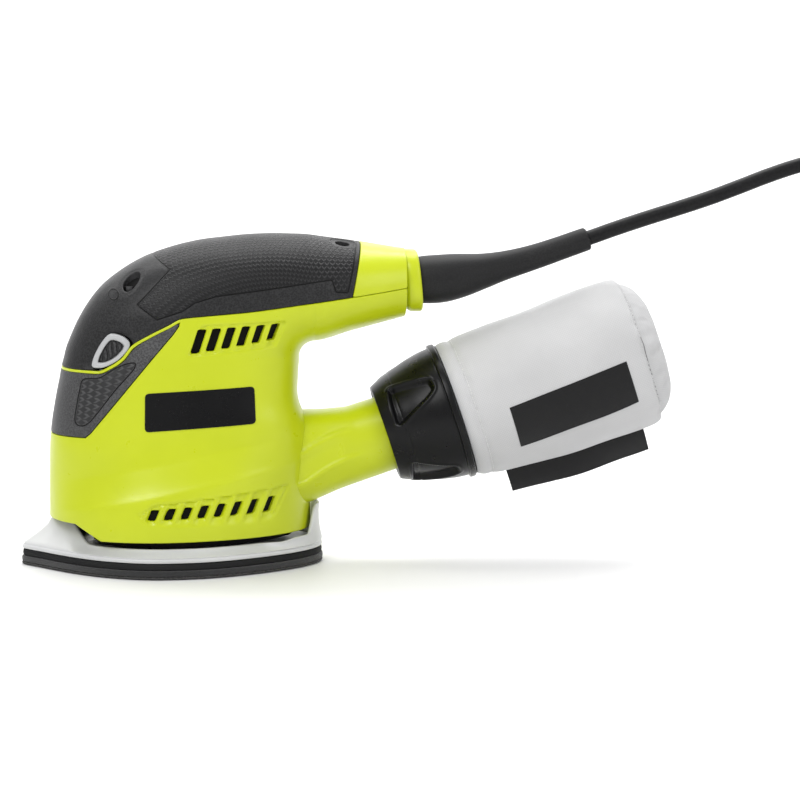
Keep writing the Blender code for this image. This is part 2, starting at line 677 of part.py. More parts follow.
add_mesh("motor_shaft", turned([(SHAFT_R, 20.5), (SHAFT_R, 101.0), (SHAFT_R - 1.0, 101.6),
                                (SHAFT_R - 1.0, 111.0)], 20), STEEL)
add_mesh("armature_core", turned([(17.8, 55.5), (17.8, 82.5), (SHAFT_R + GAP, 82.5),
                                  (SHAFT_R + GAP, 55.5)], 24, closed=True), LAMIN)
add_mesh("armature_winding", turned([(15.5, 82.9), (14.0, 88.5), (SHAFT_R + GAP, 88.5),
                                     (SHAFT_R + GAP, 82.9)], 20, closed=True), COPPER)
add_mesh("commutator", turned([(11.0, 90.5), (11.0, 101.0), (SHAFT_R + GAP, 101.0),
                               (SHAFT_R + GAP, 90.5)], 20, closed=True), COPPER)
fan = add_mesh("cooling_fan", turned([(27.5, 41.0), (27.5, 42.6), (8.0, 42.6), (8.0, 50.5),
                                      (SHAFT_R + GAP, 50.5), (SHAFT_R + GAP, 41.0)], 28,
                                     closed=True), BLACK)
for k in range(8):
    a = 2 * math.pi * k / 8
    bm = box((18.5, 1.3, 8.4), (0, 0, 0))
    bmesh.ops.rotate(bm, cent=(0, 0, 0), matrix=Matrix.Rotation(a + 0.35, 3, "Z"), verts=bm.verts[:])
    bmesh.ops.translate(bm, vec=(17.0 * math.cos(a), 17.0 * math.sin(a), 46.2), verts=bm.verts[:])
    blade = add_mesh("blade", bm, group=cutters)
    boolean(fan, blade, "UNION", drop=True)
tidy(fan)

# eccentric: a counterweight on the shaft's foot that carries the offset pin
ecc = add_mesh("eccentric_counterweight",
               turned([(9.5, 19.9), (9.5, 28.2), (SHAFT_R + GAP, 28.2), (SHAFT_R + GAP, 19.9)], 20,
                      closed=True), STEEL)
wpts = [(17.5 * math.cos(a), 17.5 * math.sin(a)) for a in
        [math.radians(d) for d in range(110, 251, 20)]]
weight = add_mesh("weight", plate(wpts + [(-3.2, -8.0), (-3.2, 8.0)], 20.6, 27.4), group=cutters)
wh = add_mesh("hole", cylinder(SHAFT_R + GAP, 30, 20, (0, 0, 10)), group=cutters)
boolean(weight, wh, drop=True)
boolean(ecc, weight, "UNION", drop=True)
tidy(ecc)
pin = add_mesh("pin", turned([(3.4, 11.6), (PIN_R, 12.2), (PIN_R, 19.4), (8.4, 19.4), (8.4, 20.2)],
                             20, (ORBIT_R, 0, 0)), group=cutters)
boolean(ecc, pin, "UNION", drop=True)
tidy(ecc)

# -------------------------------------------------------------------- platen
def pad_outline(inset, n=36):
    """Pad's plan outline: pointed nose, widest ahead of the middle, round tail."""
    half = [(PAD_TIP_X, 0.0), (-77.9, 2.4), (-75.2, 6.0), (-69.7, 12.0), (-60.2, 22.9), (-50.8, 32.2),
            (-41.7, 39.2), (-32.6, 44.2), (-23.6, 47.6), (-12.4, PAD_HALF_WIDTH), (3.3, 47.8),
            (14.6, 44.4), (26.1, 39.2), (37.7, 32.4), (49.5, 23.2), (57.0, 14.2), (60.5, 6.6),
            (PAD_REAR_X, 0.0)]
    pts = smooth_path([(x, -y, 0.0) for x, y in half], n // 2 + 1)
    res = []
    m = len(pts)
    for i, p in enumerate(pts):
        a = pts[max(i - 1, 0)]
        b = pts[min(i + 1, m - 1)]
        t = (b - a).normalized()
        nrm = Vector((-t.y, t.x, 0.0))          # points to the inside
        if i == 0:
            nrm = Vector((1.0, 0.0, 0.0))
        if i == m - 1:
            nrm = Vector((-1.0, 0.0, 0.0))
        q = p + nrm * inset
        if i == 0:
            q = Vector((p.x + 1.3 * inset, 0.0, 0.0))
            nose_x = q.x
        else:
            q.x = min(max(q.x, nose_x + 0.15 * i), PAD_REAR_X - inset - 0.12 * (m - 1 - i))
            q.y = min(q.y, 0.08 * p.y)
        res.append((q.x, q.y if 0 < i < m - 1 else 0.0))
    full = res + [(x, -y) for x, y in res[1:-1][::-1]]
    return full


def ease(t):
    t = min(max(t, 0.0), 1.0)
    return t * t * (3 - 2 * t)


def platen_top(x):
    """Height of the platen's rim: a prow under the nose and a tail behind."""
    z = 13.2
    if x < -41.0:
        z += (21.6 - 13.2) * ease((-41.0 - x) / 13.0)
    if x > 41.5:
        z += 1.2 * ease((x - 41.5) / 10.0)
    if x > 53.0:
        z += (26.4 - 13.2) * ease((x - 53.0) / 6.5)
    return z


def rim_inset(x):
    """How far the rim's top stands in from the pad's edge."""
    d = 5.4
    if x < -45.0:
        d += (12.9 - 5.4) * ease((-45.0 - x) / 25.0)
    if x > 33.0:
        d += (2.3 - 5.4) * ease((x - 33.0) / 10.0)
    return d


base_out = pad_outline(0.0)


def platen_ring(inset, z, k=0.0, drop=0.0):
    """k = 0 follows the pad's edge, k = 1 follows the rim's top."""
    res = []
    for i, (x0, y0) in enumerate(base_out):
        d = inset + k * rim_inset(x0)
        zz = z + k * (platen_top(x0) - z) - drop
        ox, oy = pad_outline_at(d, i)
        res.append((ox, oy, zz))
    return res


_cache = {}


def pad_outline_at(d, i):
    key = round(d, 2)
    if key not in _cache:
        _cache[key] = pad_outline(key)
    return _cache[key][i]


PZ = PLATEN_Z
platen_bm = loft([platen_ring(0.7, PZ), platen_ring(0.7, PZ + 1.4), platen_ring(1.0, PZ + 1.9),
                  platen_ring(0.45, PZ + 1.9, 0.5), platen_ring(0.0, PZ + 1.9, 1.0),
                  platen_ring(1.7, PZ + 1.9, 1.0), platen_ring(2.6, PZ + 3.4, 0.35),
                  [(x * 0.84 - 0.5, y * 0.80, PZ + 3.4) for x, y in base_out]])
platen = add_mesh("platen", platen_bm, GREY)
hub = add_mesh("hub", cylinder(14.0, 7.6, 24, (ORBIT_R, 0, PZ + 3.0)), group=cutters)
boolean(platen, hub, "UNION", drop=True)
hole = add_mesh("hole", cylinder(11.3, 10.0, 24, (ORBIT_R, 0, PZ + 4.2)), group=cutters)
boolean(platen, hole, drop=True)
DUST_HOLES = [(-46, 0), (-26, 27), (-26, -27), (24, 24), (24, -24), (42, 0)]
for x, y in DUST_HOLES:
    hole = add_mesh("hole", cylinder(3.6, 10.0, 10, (x, y, PZ - 2.0)), group=cutters)
    boolean(platen, hole, drop=True)
tidy(platen)
add_mesh("eccentric_bearing", turned([(11.0, PZ + 4.5), (11.0, PZ + 10.3), (PIN_R + GAP, PZ + 10.3),
                                      (PIN_R + GAP, PZ + 4.5)], 24, (ORBIT_R, 0, 0), closed=True),
         STEEL)


def layer(name, inset, z0, z1, mat, holes=True):
    ob = add_mesh(name, plate(pad_outline(inset), z0, z1), mat)
    if holes:
        for x, y in DUST_HOLES:
            h = add_mesh("hole", cylinder(3.6, 20.0, 10, (x, y, z0 - 5)), group=cutters)
            boolean(ob, h, drop=True)
        tidy(ob)
    return ob


layer("backing_pad", 0.9, SHEET_T + FOAM_T + 2 * GAP, PLATEN_Z - GAP, RUBBER)
layer("hook_foam_pad", 0.1, SHEET_T + GAP, SHEET_T + GAP + FOAM_T, FELT)
layer("sanding_sheet", 0.0, 0.0, SHEET_T, ABRASIVE)

# -------------------------------------------------------------------- switch
bar = add_mesh("switch_slider", prism(SWITCH_OUT, -27.0, 29.4), GREY)
core = about_switch(-3.0)
for y0, y1 in ((-40, -24.6), (27.0, 40)):
    c = add_mesh("hole", prism(core, y0, y1), group=cutters)
    boolean(bar, c, drop=True)
notch = add_mesh("hole", box((10.0, 46.5, 40.0), (-25.0, 2.25, 102.0)), group=cutters)
boolean(bar, notch, drop=True)
tidy(bar, smooth=25)
for side, y0, y1 in (("right", -26.4, -24.9), ("left", 27.3, 28.8)):
    add_mesh("switch_grip_" + side, prism(about_switch(-3.9), y0, y1), DARK)
add_mesh("switch_body", box((18.0, 14.0, 8.0), (-38.0, 0.0, 85.4), 0.8), BLACK)

# ---------------------------------------------------------------- electrics
add_mesh("capacitor", box((18.0, 12.0, 9.0), (48.5, 0, 127.0), 1.0), ("blue_epoxy", (0.7, 0.45, 0.05), 0.4))
clamp = add_mesh("cord_clamp", box((8.0, 18.0, 4.0), (92.0, 0, 135.9), 0.6), BLACK)
tidy(clamp)
for i, sy in enumerate((-1, 1)):
    h = add_mesh("hole", cylinder(1.9, 20, 12, (92.0, sy * 6.6, 125)), group=cutters)
    boolean(clamp, h, drop=True)
    add_mesh("clamp_screw_%d" % (i + 1),
             turned([(1.5, 127.0), (1.5, 138.2), (2.3, 138.2), (2.3, 139.4)], 12,
                    (92.0, sy * 6.6, 0)), STEEL)
tidy(clamp)
tube("wire_live", smooth_path([(93.5, -1.3, 130.2), (84, -2.6, 130.0), (68, -6, 131.5), (56, -9.5, 133), (40, -11, 128),
                               (20, -12.5, 124), (2, -14, 121), (-13, -12, 112), (-20.5, -8, 98),
                               (-24, -4.5, 88.5), (-28.1, -3.0, 85.4)], 22), 0.9, ("wire_black", (0.02, 0.02, 0.02), 0.5))
tube("wire_neutral", smooth_path([(93.5, 1.3, 130.2), (84, 2.6, 130.0), (68, 6, 131.5), (56, 9.5, 133), (40, 11, 128),
                                  (20, 12.5, 124), (2, 14, 121), (-13, 12, 112), (-20.5, 8, 98),
                                  (-24, 4.5, 88.5), (-28.1, 3.0, 85.4)], 22), 0.9, ("wire_white", (0.7, 0.7, 0.7), 0.5))

# ------------------------------------------------- strain relief and the lead
SR = [(96.8, 0, 130.2), (101, 0, 130.2), (106.8, 0, 130.5), (116.6, 0, 131.0), (126, 0, 132.4),
      (135.5, 0, 134.2), (145, 0, 136.5), (154.5, 0, 139.0), (163.8, 0, 141.8), (173, 0, 144.9),
      (182.5, 0, 148.2), (186.0, 0, 149.4)]
SR_R = [8.0, 8.0, 10.6, 11.0, 10.2, 8.6, 7.0, 6.1, 5.7, 5.5, 5.4, 5.0]


def swept(points, radii, n=16):
    """Tapered round solid along a plane route."""
    p = [Vector(q) for q in points]
    rings = []
    m = len(p)
    for i in range(m):
        t = (p[min(i + 1, m - 1)] - p[max(i - 1, 0)]).normalized()
        side = Vector((0, 1, 0))
        up = t.cross(side).normalized()
        rings.append([tuple(p[i] + radii[i] * (math.cos(a) * side + math.sin(a) * up))
                      for a in [2 * math.pi * k / n for k in range(n)]])
    return loft(rings)


relief = add_mesh("strain_relief", swept(SR, SR_R), RUBBER)
groove = add_mesh("hole", cylinder(2.9 + GAP, 12.0, 16, (94.0, 0, 130.4), (1, 0, 0)), group=cutters)
boolean(relief, groove, drop=True)
tidy(relief)

# the lead: up and back out of the relief, over in a wide arch, down to the floor
# and into a coil that lies behind the tool
FLOOR = 0.4
CORD_R = CORD_D / 2
END = Vector(SR[-1])
cord_dir = (Vector(SR[-1]) - Vector(SR[-3])).normalized()
START = END + cord_dir * GAP
ROUTE = [tuple(START), (201.0, 0, 154.6), (219.8, 0, 160.6), (238.7, 0, 166.4), (257.5, 0, 173.2),
         (276, 0, 180.0), (296, 0, 185.5), (318, 0, 187.5), (340, 0, 184.0), (360, 0, 174.0),
         (376, 0.5, 158.0), (387, 1.5, 137.0), (393, 3.0, 113.0), (396.5, 3.0, 88.0),
         (398.0, 1.0, 64.0), (398.0, -6.0, 42.0), (396.0, -18.0, 24.0), (390.0, -32.0, 13.0),
         (380.0, -44.5, 6.5), (365.0, -51.5, FLOOR + CORD_R), (350.0, -54.0, FLOOR + CORD_R),
         (334.0, -51.8, FLOOR + CORD_R)]
tube("cord_tube", smooth_path(ROUTE, 36), CORD_R, RUBBER)
cx, cy = COIL_C
add_mesh("cord_coil", turned([(COIL_MID_R + 9.4, FLOOR), (COIL_MID_R + 9.4, FLOOR + COIL_H),
                              (COIL_MID_R - 9.4, FLOOR + COIL_H), (COIL_MID_R - 9.4, FLOOR)],
                             32, (cx, cy, 0), closed=True), RUBBER)
TAIL = [(322.0, 49.0, FLOOR + CORD_R), (334.0, 52.0, FLOOR + CORD_R),
        (352.0, 55.0, FLOOR + CORD_R + 2), (366.0, 60.0, FLOOR + CORD_R + 5), (378.0, 66.0, 10.5)]
tube("cord_tail", smooth_path(TAIL, 12), CORD_R, RUBBER)

plug_dir = (Vector(TAIL[-1]) - Vector(TAIL[-2])).normalized()
plug_dir.z = 0.0
plug_dir.normalize()
plug_o = Vector((378.0, 66.0, 10.5)) + plug_dir * 0.8
side = Vector((-plug_dir.y, plug_dir.x, 0))
sections = [(0.0, 5.2, 5.2), (10.0, 5.8, 5.8), (14.0, 9.5, 7.0), (20.0, 13.0, 8.8), (34.0, 13.0, 9.6),
            (37.0, 12.4, 9.2)]
rings = []
for d, w, h in sections:
    c = plug_o + plug_dir * d
    rings.append([tuple(c + side * (w * math.copysign(abs(math.cos(a)) ** 0.7, math.cos(a)))
                        + Vector((0, 0, 1)) * (h * math.copysign(abs(math.sin(a)) ** 0.7, math.sin(a))))
                  for a in [2 * math.pi * k / 16 for k in range(16)]])
add_mesh("plug_body", loft(rings), RUBBER)
for i, sg in enumerate((-1, 1)):
    c = plug_o + plug_dir * (37.0 + GAP + 8.0) + side * (6.35 * sg)
    bm = box((16.0, 1.5, 6.3), (0, 0, 0))
    bmesh.ops.rotate(bm, cent=(0, 0, 0),
                     matrix=Matrix.Rotation(math.atan2(plug_dir.y, plug_dir.x), 3, "Z"),
                     verts=bm.verts[:])
    bmesh.ops.translate(bm, vec=c, verts=bm.verts[:])
    add_mesh("plug_blade_%d" % (i + 1), bm, BRASS, smooth=0)

# ------------------------------------------------------- collar and dust bag
C0 = COLLAR_START
collar = add_mesh("bag_collar", turned([
    (22.2, C0), (24.4, C0 + 1.8), (27.2, C0 + 9.0), (29.6, C0 + 17.0), (31.0, C0 + 25.0), (31.6, C0 + 31.0),
    (32.4, C0 + 31.4), (32.4, C0 + COLLAR_LENGTH), (28.6, C0 + COLLAR_LENGTH), (28.0, C0 + 28.0),
    (PORT_R_OUT + 0.5, C0 + 24.0), (PORT_R_OUT + 0.5, C0)], 28, port_point(0), PORT_DIR, closed=True),
    BLACK)
B0 = C0 + COLLAR_LENGTH + GAP
T = Vector(PORT_DIR)
N = Vector((-T.z, 0, T.x))
bag_rings = []
for d, ry, rz, lift in [(0.0, 29.6, 31.0, 0.0), (6.0, 30.4, 31.8, 0.0), (25.0, 30.4, 32.4, -0.5), (50.0, 30.4, 33.0, -0.9),
                        (76.0, 30.2, 33.0, -1.0), (89.0, 28.6, 31.4, -1.0), (94.5, 22.5, 25.6, -0.7),
                        (BAG_LENGTH, 11.0, 13.5, -0.3)]:
    c = Vector(port_point(B0 + d, lift))
    bag_rings.append([tuple(c + Vector((0, 1, 0)) * (ry * math.cos(a)) + N * (rz * math.sin(a)))
                      for a in [2 * math.pi * k / 24 for k in range(24)]])
bag = add_mesh("dust_bag", loft(bag_rings), CLOTH)
mouth = add_mesh("hole", cylinder(26.5, 70.0, 20, port_point(B0 - 10.0), PORT_DIR), group=cutters)
boolean(bag, mouth, drop=True)
tidy(bag)

# ----------------------------------------------------------------- pivots
rotor = bpy.data.objects.new("rotor_axis", None)
orbit = bpy.data.objects.new("orbit_axis", None)
pusher = bpy.data.objects.new("switch_axis", None)
slip = bpy.data.objects.new("bag_axis", None)
for e, loc in ((rotor, (0, 0, 0)), (orbit, (ORBIT_R * MM, 0, 0)),
               (pusher, (SWITCH_C[0] * MM, 0, SWITCH_C[1] * MM)),
               (slip, tuple(c * MM for c in port_point(C0)))):
    parts.objects.link(e)
    e.location = loc
orbit.parent = rotor
bpy.context.view_layer.update()
GROUPS = {rotor: ["motor_shaft", "armature_core", "armature_winding", "commutator", "cooling_fan",
                  "eccentric_counterweight"],
          orbit: ["platen", "eccentric_bearing", "backing_pad", "hook_foam_pad", "sanding_sheet"],
          pusher: ["switch_slider", "switch_grip_right", "switch_grip_left"],
          slip: ["bag_collar", "dust_bag"]}
for e, names in GROUPS.items():
    for n in names:
        o = bpy.data.objects[n]
        o.parent = e
        o.matrix_parent_inverse = e.matrix_world.inverted()

# the forms and zones stay as guides; whatever is left over is removed
for o in list(cutters.objects):
    bpy.data.objects.remove(o, do_unlink=True)
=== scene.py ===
"""Looks of the detail mouse sander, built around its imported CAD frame.

Lengths in the making are millimetres; meshes are scaled to metres at the end.
-X is the pointed nose, +X the tail with the lead and the bag, -Y the near side.
"""
import json
import math

import bmesh
import bpy
import numpy as np
from mathutils import Matrix, Vector

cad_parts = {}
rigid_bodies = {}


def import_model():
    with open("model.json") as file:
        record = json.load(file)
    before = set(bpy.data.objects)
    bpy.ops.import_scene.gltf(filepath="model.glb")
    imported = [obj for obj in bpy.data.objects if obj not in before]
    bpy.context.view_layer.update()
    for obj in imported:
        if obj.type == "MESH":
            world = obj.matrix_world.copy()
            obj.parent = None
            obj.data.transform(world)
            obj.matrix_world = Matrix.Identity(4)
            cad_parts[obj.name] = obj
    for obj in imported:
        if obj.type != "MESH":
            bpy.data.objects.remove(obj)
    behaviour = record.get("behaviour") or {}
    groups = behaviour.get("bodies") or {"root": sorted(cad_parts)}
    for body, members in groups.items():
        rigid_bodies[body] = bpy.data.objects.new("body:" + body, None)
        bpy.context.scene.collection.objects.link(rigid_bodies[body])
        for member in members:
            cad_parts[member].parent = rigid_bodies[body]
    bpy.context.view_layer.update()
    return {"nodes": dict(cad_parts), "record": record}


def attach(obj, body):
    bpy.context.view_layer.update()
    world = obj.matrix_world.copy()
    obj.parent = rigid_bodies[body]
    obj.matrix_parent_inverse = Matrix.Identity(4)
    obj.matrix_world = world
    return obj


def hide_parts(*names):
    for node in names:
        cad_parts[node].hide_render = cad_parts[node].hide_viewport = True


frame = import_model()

MM = 0.001
coll = bpy.data.collections.new("looks")
bpy.context.scene.collection.children.link(coll)

# ------------------------------------------------------------------- camera
YAW, ELEV, DIST = math.radians(5.0), math.radians(7.0), 1.300
TARGET = Vector((0.0979, 0.0, 0.0743))
look = Vector((math.sin(YAW) * math.cos(ELEV), math.cos(YAW) * math.cos(ELEV), -math.sin(ELEV)))
cam_data = bpy.data.cameras.new("camera")
cam_data.sensor_width = 36.0
cam_data.lens = 125.235
cam_data.clip_start = 0.05
cam_data.clip_end = 20.0
cam = bpy.data.objects.new("camera", cam_data)
coll.objects.link(cam)
cam.location = TARGET - look * DIST
cam.rotation_euler = look.to_track_quat("-Z", "Y").to_euler()
bpy.context.scene.camera = cam
bpy.context.scene.view_settings.view_transform = "Standard"


# ---------------------------------------------------------------- materials
class Nodes:
    """Small helper around a material's node tree."""

    def __init__(self, name):
        self.m = bpy.data.materials.new(name)
        self.m.use_nodes = True
        self.t = self.m.node_tree
        self.b = self.t.nodes["Principled BSDF"]
        self.co = self.t.nodes.new("ShaderNodeTexCoord").outputs["Object"]

    def new(self, kind, **kw):
        n = self.t.nodes.new(kind)
        for k, v in kw.items():
            if k in n.inputs.keys():
                n.inputs[k].default_value = v
            else:
                setattr(n, k, v)
        return n

    def link(self, a, b):
        self.t.links.new(a, b)

    def noise(self, scale, detail=3.0, rough=0.55, vec=None):
        n = self.new("ShaderNodeTexNoise", Scale=scale, Detail=detail, Roughness=rough)
        self.link(vec or self.co, n.inputs["Vector"])
        return n.outputs["Fac"]

    def ramp(self, fac, stops):
        r = self.t.nodes.new("ShaderNodeValToRGB")
        e = r.color_ramp.elements
        while len(e) > len(stops):
            e.remove(e[-1])
        while len(e) < len(stops):
            e.new(0.5)
        for el, (p, c) in zip(e, stops):
            el.position = p
            el.color = (*c, 1.0) if len(c) == 3 else c
        self.link(fac, r.inputs["Fac"])
        return r.outputs["Color"]

    def span(self, fac, lo, hi, a=0.0, b=1.0):
        n = self.new("ShaderNodeMapRange")
        n.inputs["From Min"].default_value = a
        n.inputs["From Max"].default_value = b
        n.inputs["To Min"].default_value = lo
        n.inputs["To Max"].default_value = hi
        self.link(fac, n.inputs["Value"])
        return n.outputs["Result"]

    def math(self, op, a, b=None):
        n = self.t.nodes.new("ShaderNodeMath")
        n.operation = op
        for i, v in enumerate((a, b)):
            if v is None:
                continue
            if isinstance(v, (int, float)):
                n.inputs[i].default_value = v
            else:
                self.link(v, n.inputs[i])
        return n.outputs[0]

    def mix(self, fac, a, b):
        n = self.t.nodes.new("ShaderNodeMix")
        n.data_type = "RGBA"
        for s, v in ((n.inputs[0], fac), (n.inputs[6], a), (n.inputs[7], b)):
            if isinstance(v, (tuple, list)):
                s.default_value = (*v, 1.0)
            elif isinstance(v, (int, float)):
                s.default_value = v
            else:
                self.link(v, s)
        return n.outputs[2]

    def bump(self, height, strength, distance, chain=None):
        n = self.new("ShaderNodeBump", Strength=strength, Distance=distance)
        self.link(height, n.inputs["Height"])
        if chain is not None:
            self.link(chain, n.inputs["Normal"])
        return n.outputs["Normal"]

    def out(self, color=None, rough=None, normal=None, **const):
        if color is not None:
            if isinstance(color, tuple):
                self.b.inputs["Base Color"].default_value = (*color, 1.0)
            else:
                self.link(color, self.b.inputs["Base Color"])
        if rough is not None:
            if isinstance(rough, (int, float)):
                self.b.inputs["Roughness"].default_value = rough
            else:
                self.link(rough, self.b.inputs["Roughness"])
        if normal is not None:
            self.link(normal, self.b.inputs["Normal"])
        for k, v in const.items():
            self.b.inputs[k.replace("_", " ")].default_value = v
        return self.m


def plastic(name, dark, light, rough=(0.3, 0.42), grain=2600, strength=0.12, coat=0.0,
            spec=0.5, metal=0.0, big=28.0):
    """Moulded plastic: faint colour drift, fine spark-eroded grain, uneven gloss."""
    k = Nodes(name)
    drift = k.noise(big, 3.0)
    fine = k.noise(grain, 2.0, 0.6)
    col = k.ramp(drift, [(0.3, dark), (0.7, light)])
    r = k.span(k.noise(150, 4.0), rough[0], rough[1], 0.3, 0.7)
    nrm = k.bump(fine, strength, 0.00006)
    return k.out(col, r, nrm, Metallic=metal, Specular_IOR_Level=spec, Coat_Weight=coat,
                 Coat_Roughness=0.12)


M = {}
M["green"] = plastic("lime_plastic", (0.457, 0.529, 0.005), (0.489, 0.561, 0.008),
                     rough=(0.27, 0.36), grain=3200, strength=0.07, spec=0.42)
# darker copy of the lime plastic for the CAD's green pieces: painted shade
M["green_in"] = plastic("lime_plastic_inner_shaded", (0.31, 0.36, 0.005), (0.34, 0.39, 0.008),
                        rough=(0.45, 0.6), grain=2200, strength=0.1)
M["black"] = plastic("black_plastic", (0.0035, 0.0035, 0.004), (0.006, 0.006, 0.0065),
                     rough=(0.24, 0.34), grain=2600, strength=0.06, spec=0.2)
M["collar"] = plastic("collar_plastic", (0.0025, 0.0025, 0.0028), (0.0045, 0.0045, 0.005),
                      rough=(0.26, 0.36), grain=2400, strength=0.08, spec=0.2)
M["badge"] = plastic("badge_foil", (0.0022, 0.0022, 0.0025), (0.004, 0.004, 0.0045),
                     rough=(0.24, 0.32), grain=1800, strength=0.04, spec=0.16)
M["badge_line"] = plastic("badge_rim_print", (0.50, 0.51, 0.50), (0.56, 0.57, 0.56),
                          rough=(0.35, 0.45), grain=1800, strength=0.04)
M["grey"] = plastic("light_grey_plastic", (0.36, 0.365, 0.37), (0.42, 0.425, 0.43),
                    rough=(0.26, 0.34), grain=2400, strength=0.05)
M["platen"] = plastic("platen_grey", (0.50, 0.505, 0.51), (0.57, 0.575, 0.58),
                      rough=(0.3, 0.4), grain=2600, strength=0.05)
# near-black colour for the sheet inside the housing and the discs in the pad's dust holes: painted shade
M["inside"] = plastic("inside_painted_shade", (0.004, 0.004, 0.004), (0.007, 0.007, 0.007),
                      rough=(0.7, 0.85), grain=1500, strength=0.1, spec=0.1)


def rubber(name, dark, light, rough=(0.5, 0.62), cell=1500, strength=0.35, depth=0.00012,
           sheen=0.0, spec=0.2):
    """Soft-touch moulding: leather-like pebble over a fine grain."""
    k = Nodes(name)
    v = k.new("ShaderNodeTexVoronoi", Scale=cell)
    v.feature = "F1"
    wob = k.new("ShaderNodeTexNoise", Scale=cell * 0.6, Detail=2.0)
    k.link(k.co, wob.inputs["Vector"])
    add = k.t.nodes.new("ShaderNodeVectorMath")
    add.operation = "MULTIPLY_ADD"
    k.link(wob.outputs["Color"], add.inputs[0])
    add.inputs[1].default_value = (0.0006, 0.0006, 0.0006)
    k.link(k.co, add.inputs[2])
    k.link(add.outputs[0], v.inputs["Vector"])
    d = v.outputs["Distance"]
    col = k.mix(k.span(d, 0.0, 1.0, 0.2, 0.75), dark, light)
    col = k.mix(k.span(k.noise(40, 3.0), 0.0, 0.35, 0.35, 0.65), col, dark)
    r = k.span(d, rough[0], rough[1], 0.1, 0.7)
    nrm = k.bump(d, strength, depth)
    nrm = k.bump(k.noise(cell * 2.2, 2.0), strength * 0.5, depth * 0.5, nrm)
    return k.out(col, r, nrm, Specular_IOR_Level=spec, Sheen_Weight=sheen,
                 Sheen_Roughness=0.5)


M["overmold"] = rubber("overmold_pebbled", (0.014, 0.014, 0.0145), (0.030, 0.030, 0.031),
                       rough=(0.36, 0.5), cell=1250, strength=0.5)
M["bumper"] = rubber("bumper_pebbled", (0.030, 0.030, 0.031), (0.066, 0.066, 0.068),
                     rough=(0.38, 0.52), cell=1250, strength=0.5)
M["pad"] = rubber("pad_rubber", (0.007, 0.007, 0.0075), (0.015, 0.015, 0.0155),
                  rough=(0.6, 0.75), cell=1800, strength=0.3)
M["cord"] = rubber("cord_pvc", (0.004, 0.004, 0.0045), (0.008, 0.008, 0.0085),
                   rough=(0.34, 0.44), cell=900, strength=0.06, depth=0.00005)
M["relief"] = rubber("relief_rubber", (0.010, 0.010, 0.0105), (0.017, 0.017, 0.0175),
                     rough=(0.42, 0.54), cell=1400, strength=0.12, depth=0.00006)


def knurled(name, dark, light, shaded_ground, lit_chevrons, rough=(0.36, 0.5), a=0.0026, b=0.0024, depth=0.0003,
            cell=1250):
    """Pebbled soft-touch moulding whose marked zone has staggered rows of small raised chevrons.

    The map "zone" carries, in metres, the distance into the zone and the distance from a raised mark.
    """
    k = Nodes(name)
    zn = k.t.nodes.new("ShaderNodeUVMap")
    zn.uv_map = "zone"
    zs = k.t.nodes.new("ShaderNodeSeparateXYZ")
    k.link(zn.outputs["UV"], zs.inputs[0])
    inz = k.span(zs.outputs[0], 0.0, 1.0, 0.00025, 0.00055)
    groove = k.span(k.math("ABSOLUTE", zs.outputs[0]), 1.0, 0.0, 0.00010, 0.00034)
    mark = k.span(k.math("ABSOLUTE", k.math("SUBTRACT", zs.outputs[1], 0.00225)), 1.0, 0.0, 0.00018, 0.00036)
    uv = k.t.nodes.new("ShaderNodeUVMap")
    uv.uv_map = "weave"
    sep = k.t.nodes.new("ShaderNodeSeparateXYZ")
    k.link(uv.outputs["UV"], sep.inputs[0])
    q = k.math("DIVIDE", sep.outputs[1], b)
    odd = k.math("FLOORED_MODULO", k.math("FLOOR", q), 2.0)
    p = k.math("ADD", k.math("DIVIDE", sep.outputs[0], a), k.math("MULTIPLY", odd, 0.5))
    fx = k.math("ABSOLUTE", k.math("SUBTRACT", k.math("FRACT", p), 0.5))
    fy = k.math("SUBTRACT", k.math("FRACT", q), 0.5)
    arm = k.math("ABSOLUTE", k.math("ADD", k.math("SUBTRACT", fy, k.math("MULTIPLY", fx, 1.1)), 0.22))
    up = k.span(arm, 1.0, 0.0, 0.08, 0.30)
    up = k.math("MULTIPLY", up, k.span(fx, 1.0, 0.0, 0.34, 0.46))
    up = k.math("MULTIPLY", up, inz)
    wob = k.new("ShaderNodeTexNoise", Scale=cell * 0.6, Detail=2.0)
    k.link(k.co, wob.inputs["Vector"])
    add = k.t.nodes.new("ShaderNodeVectorMath")
    add.operation = "MULTIPLY_ADD"
    k.link(wob.outputs["Color"], add.inputs[0])
    add.inputs[1].default_value = (0.0006, 0.0006, 0.0006)
    k.link(k.co, add.inputs[2])
    v = k.new("ShaderNodeTexVoronoi", Scale=cell)
    k.link(add.outputs[0], v.inputs["Vector"])
    d = v.outputs["Distance"]
    col = k.mix(k.span(d, 0.0, 1.0, 0.2, 0.75), dark, light)
    # in the zone the raised chevrons are painted lighter and the ground between them darker: painted highlight and
    # painted shade
    col = k.mix(inz, col, k.mix(up, shaded_ground, lit_chevrons))
    col = k.mix(k.span(k.noise(40, 3.0), 0.0, 0.35, 0.35, 0.65), col, dark)
    # the zone's edge groove is painted near-black, painted shade in the crease; the round mark's line gets the same
    # near-black
    col = k.mix(k.math("MAXIMUM", groove, mark), col, (0.002, 0.002, 0.002))
    peb = k.math("MULTIPLY", d, k.math("SUBTRACT", 1.0, k.math("MULTIPLY", inz, 0.75)))
    nrm = k.bump(peb, 0.5, 0.00012)
    nrm = k.bump(k.math("SUBTRACT", k.math("MULTIPLY", up, 0.6), groove), 0.9, depth * 1.4, nrm)
    nrm = k.bump(mark, 0.8, 0.0003, nrm)
    return k.out(col, k.span(d, rough[0], rough[1], 0.1, 0.7), nrm, Specular_IOR_Level=0.2)


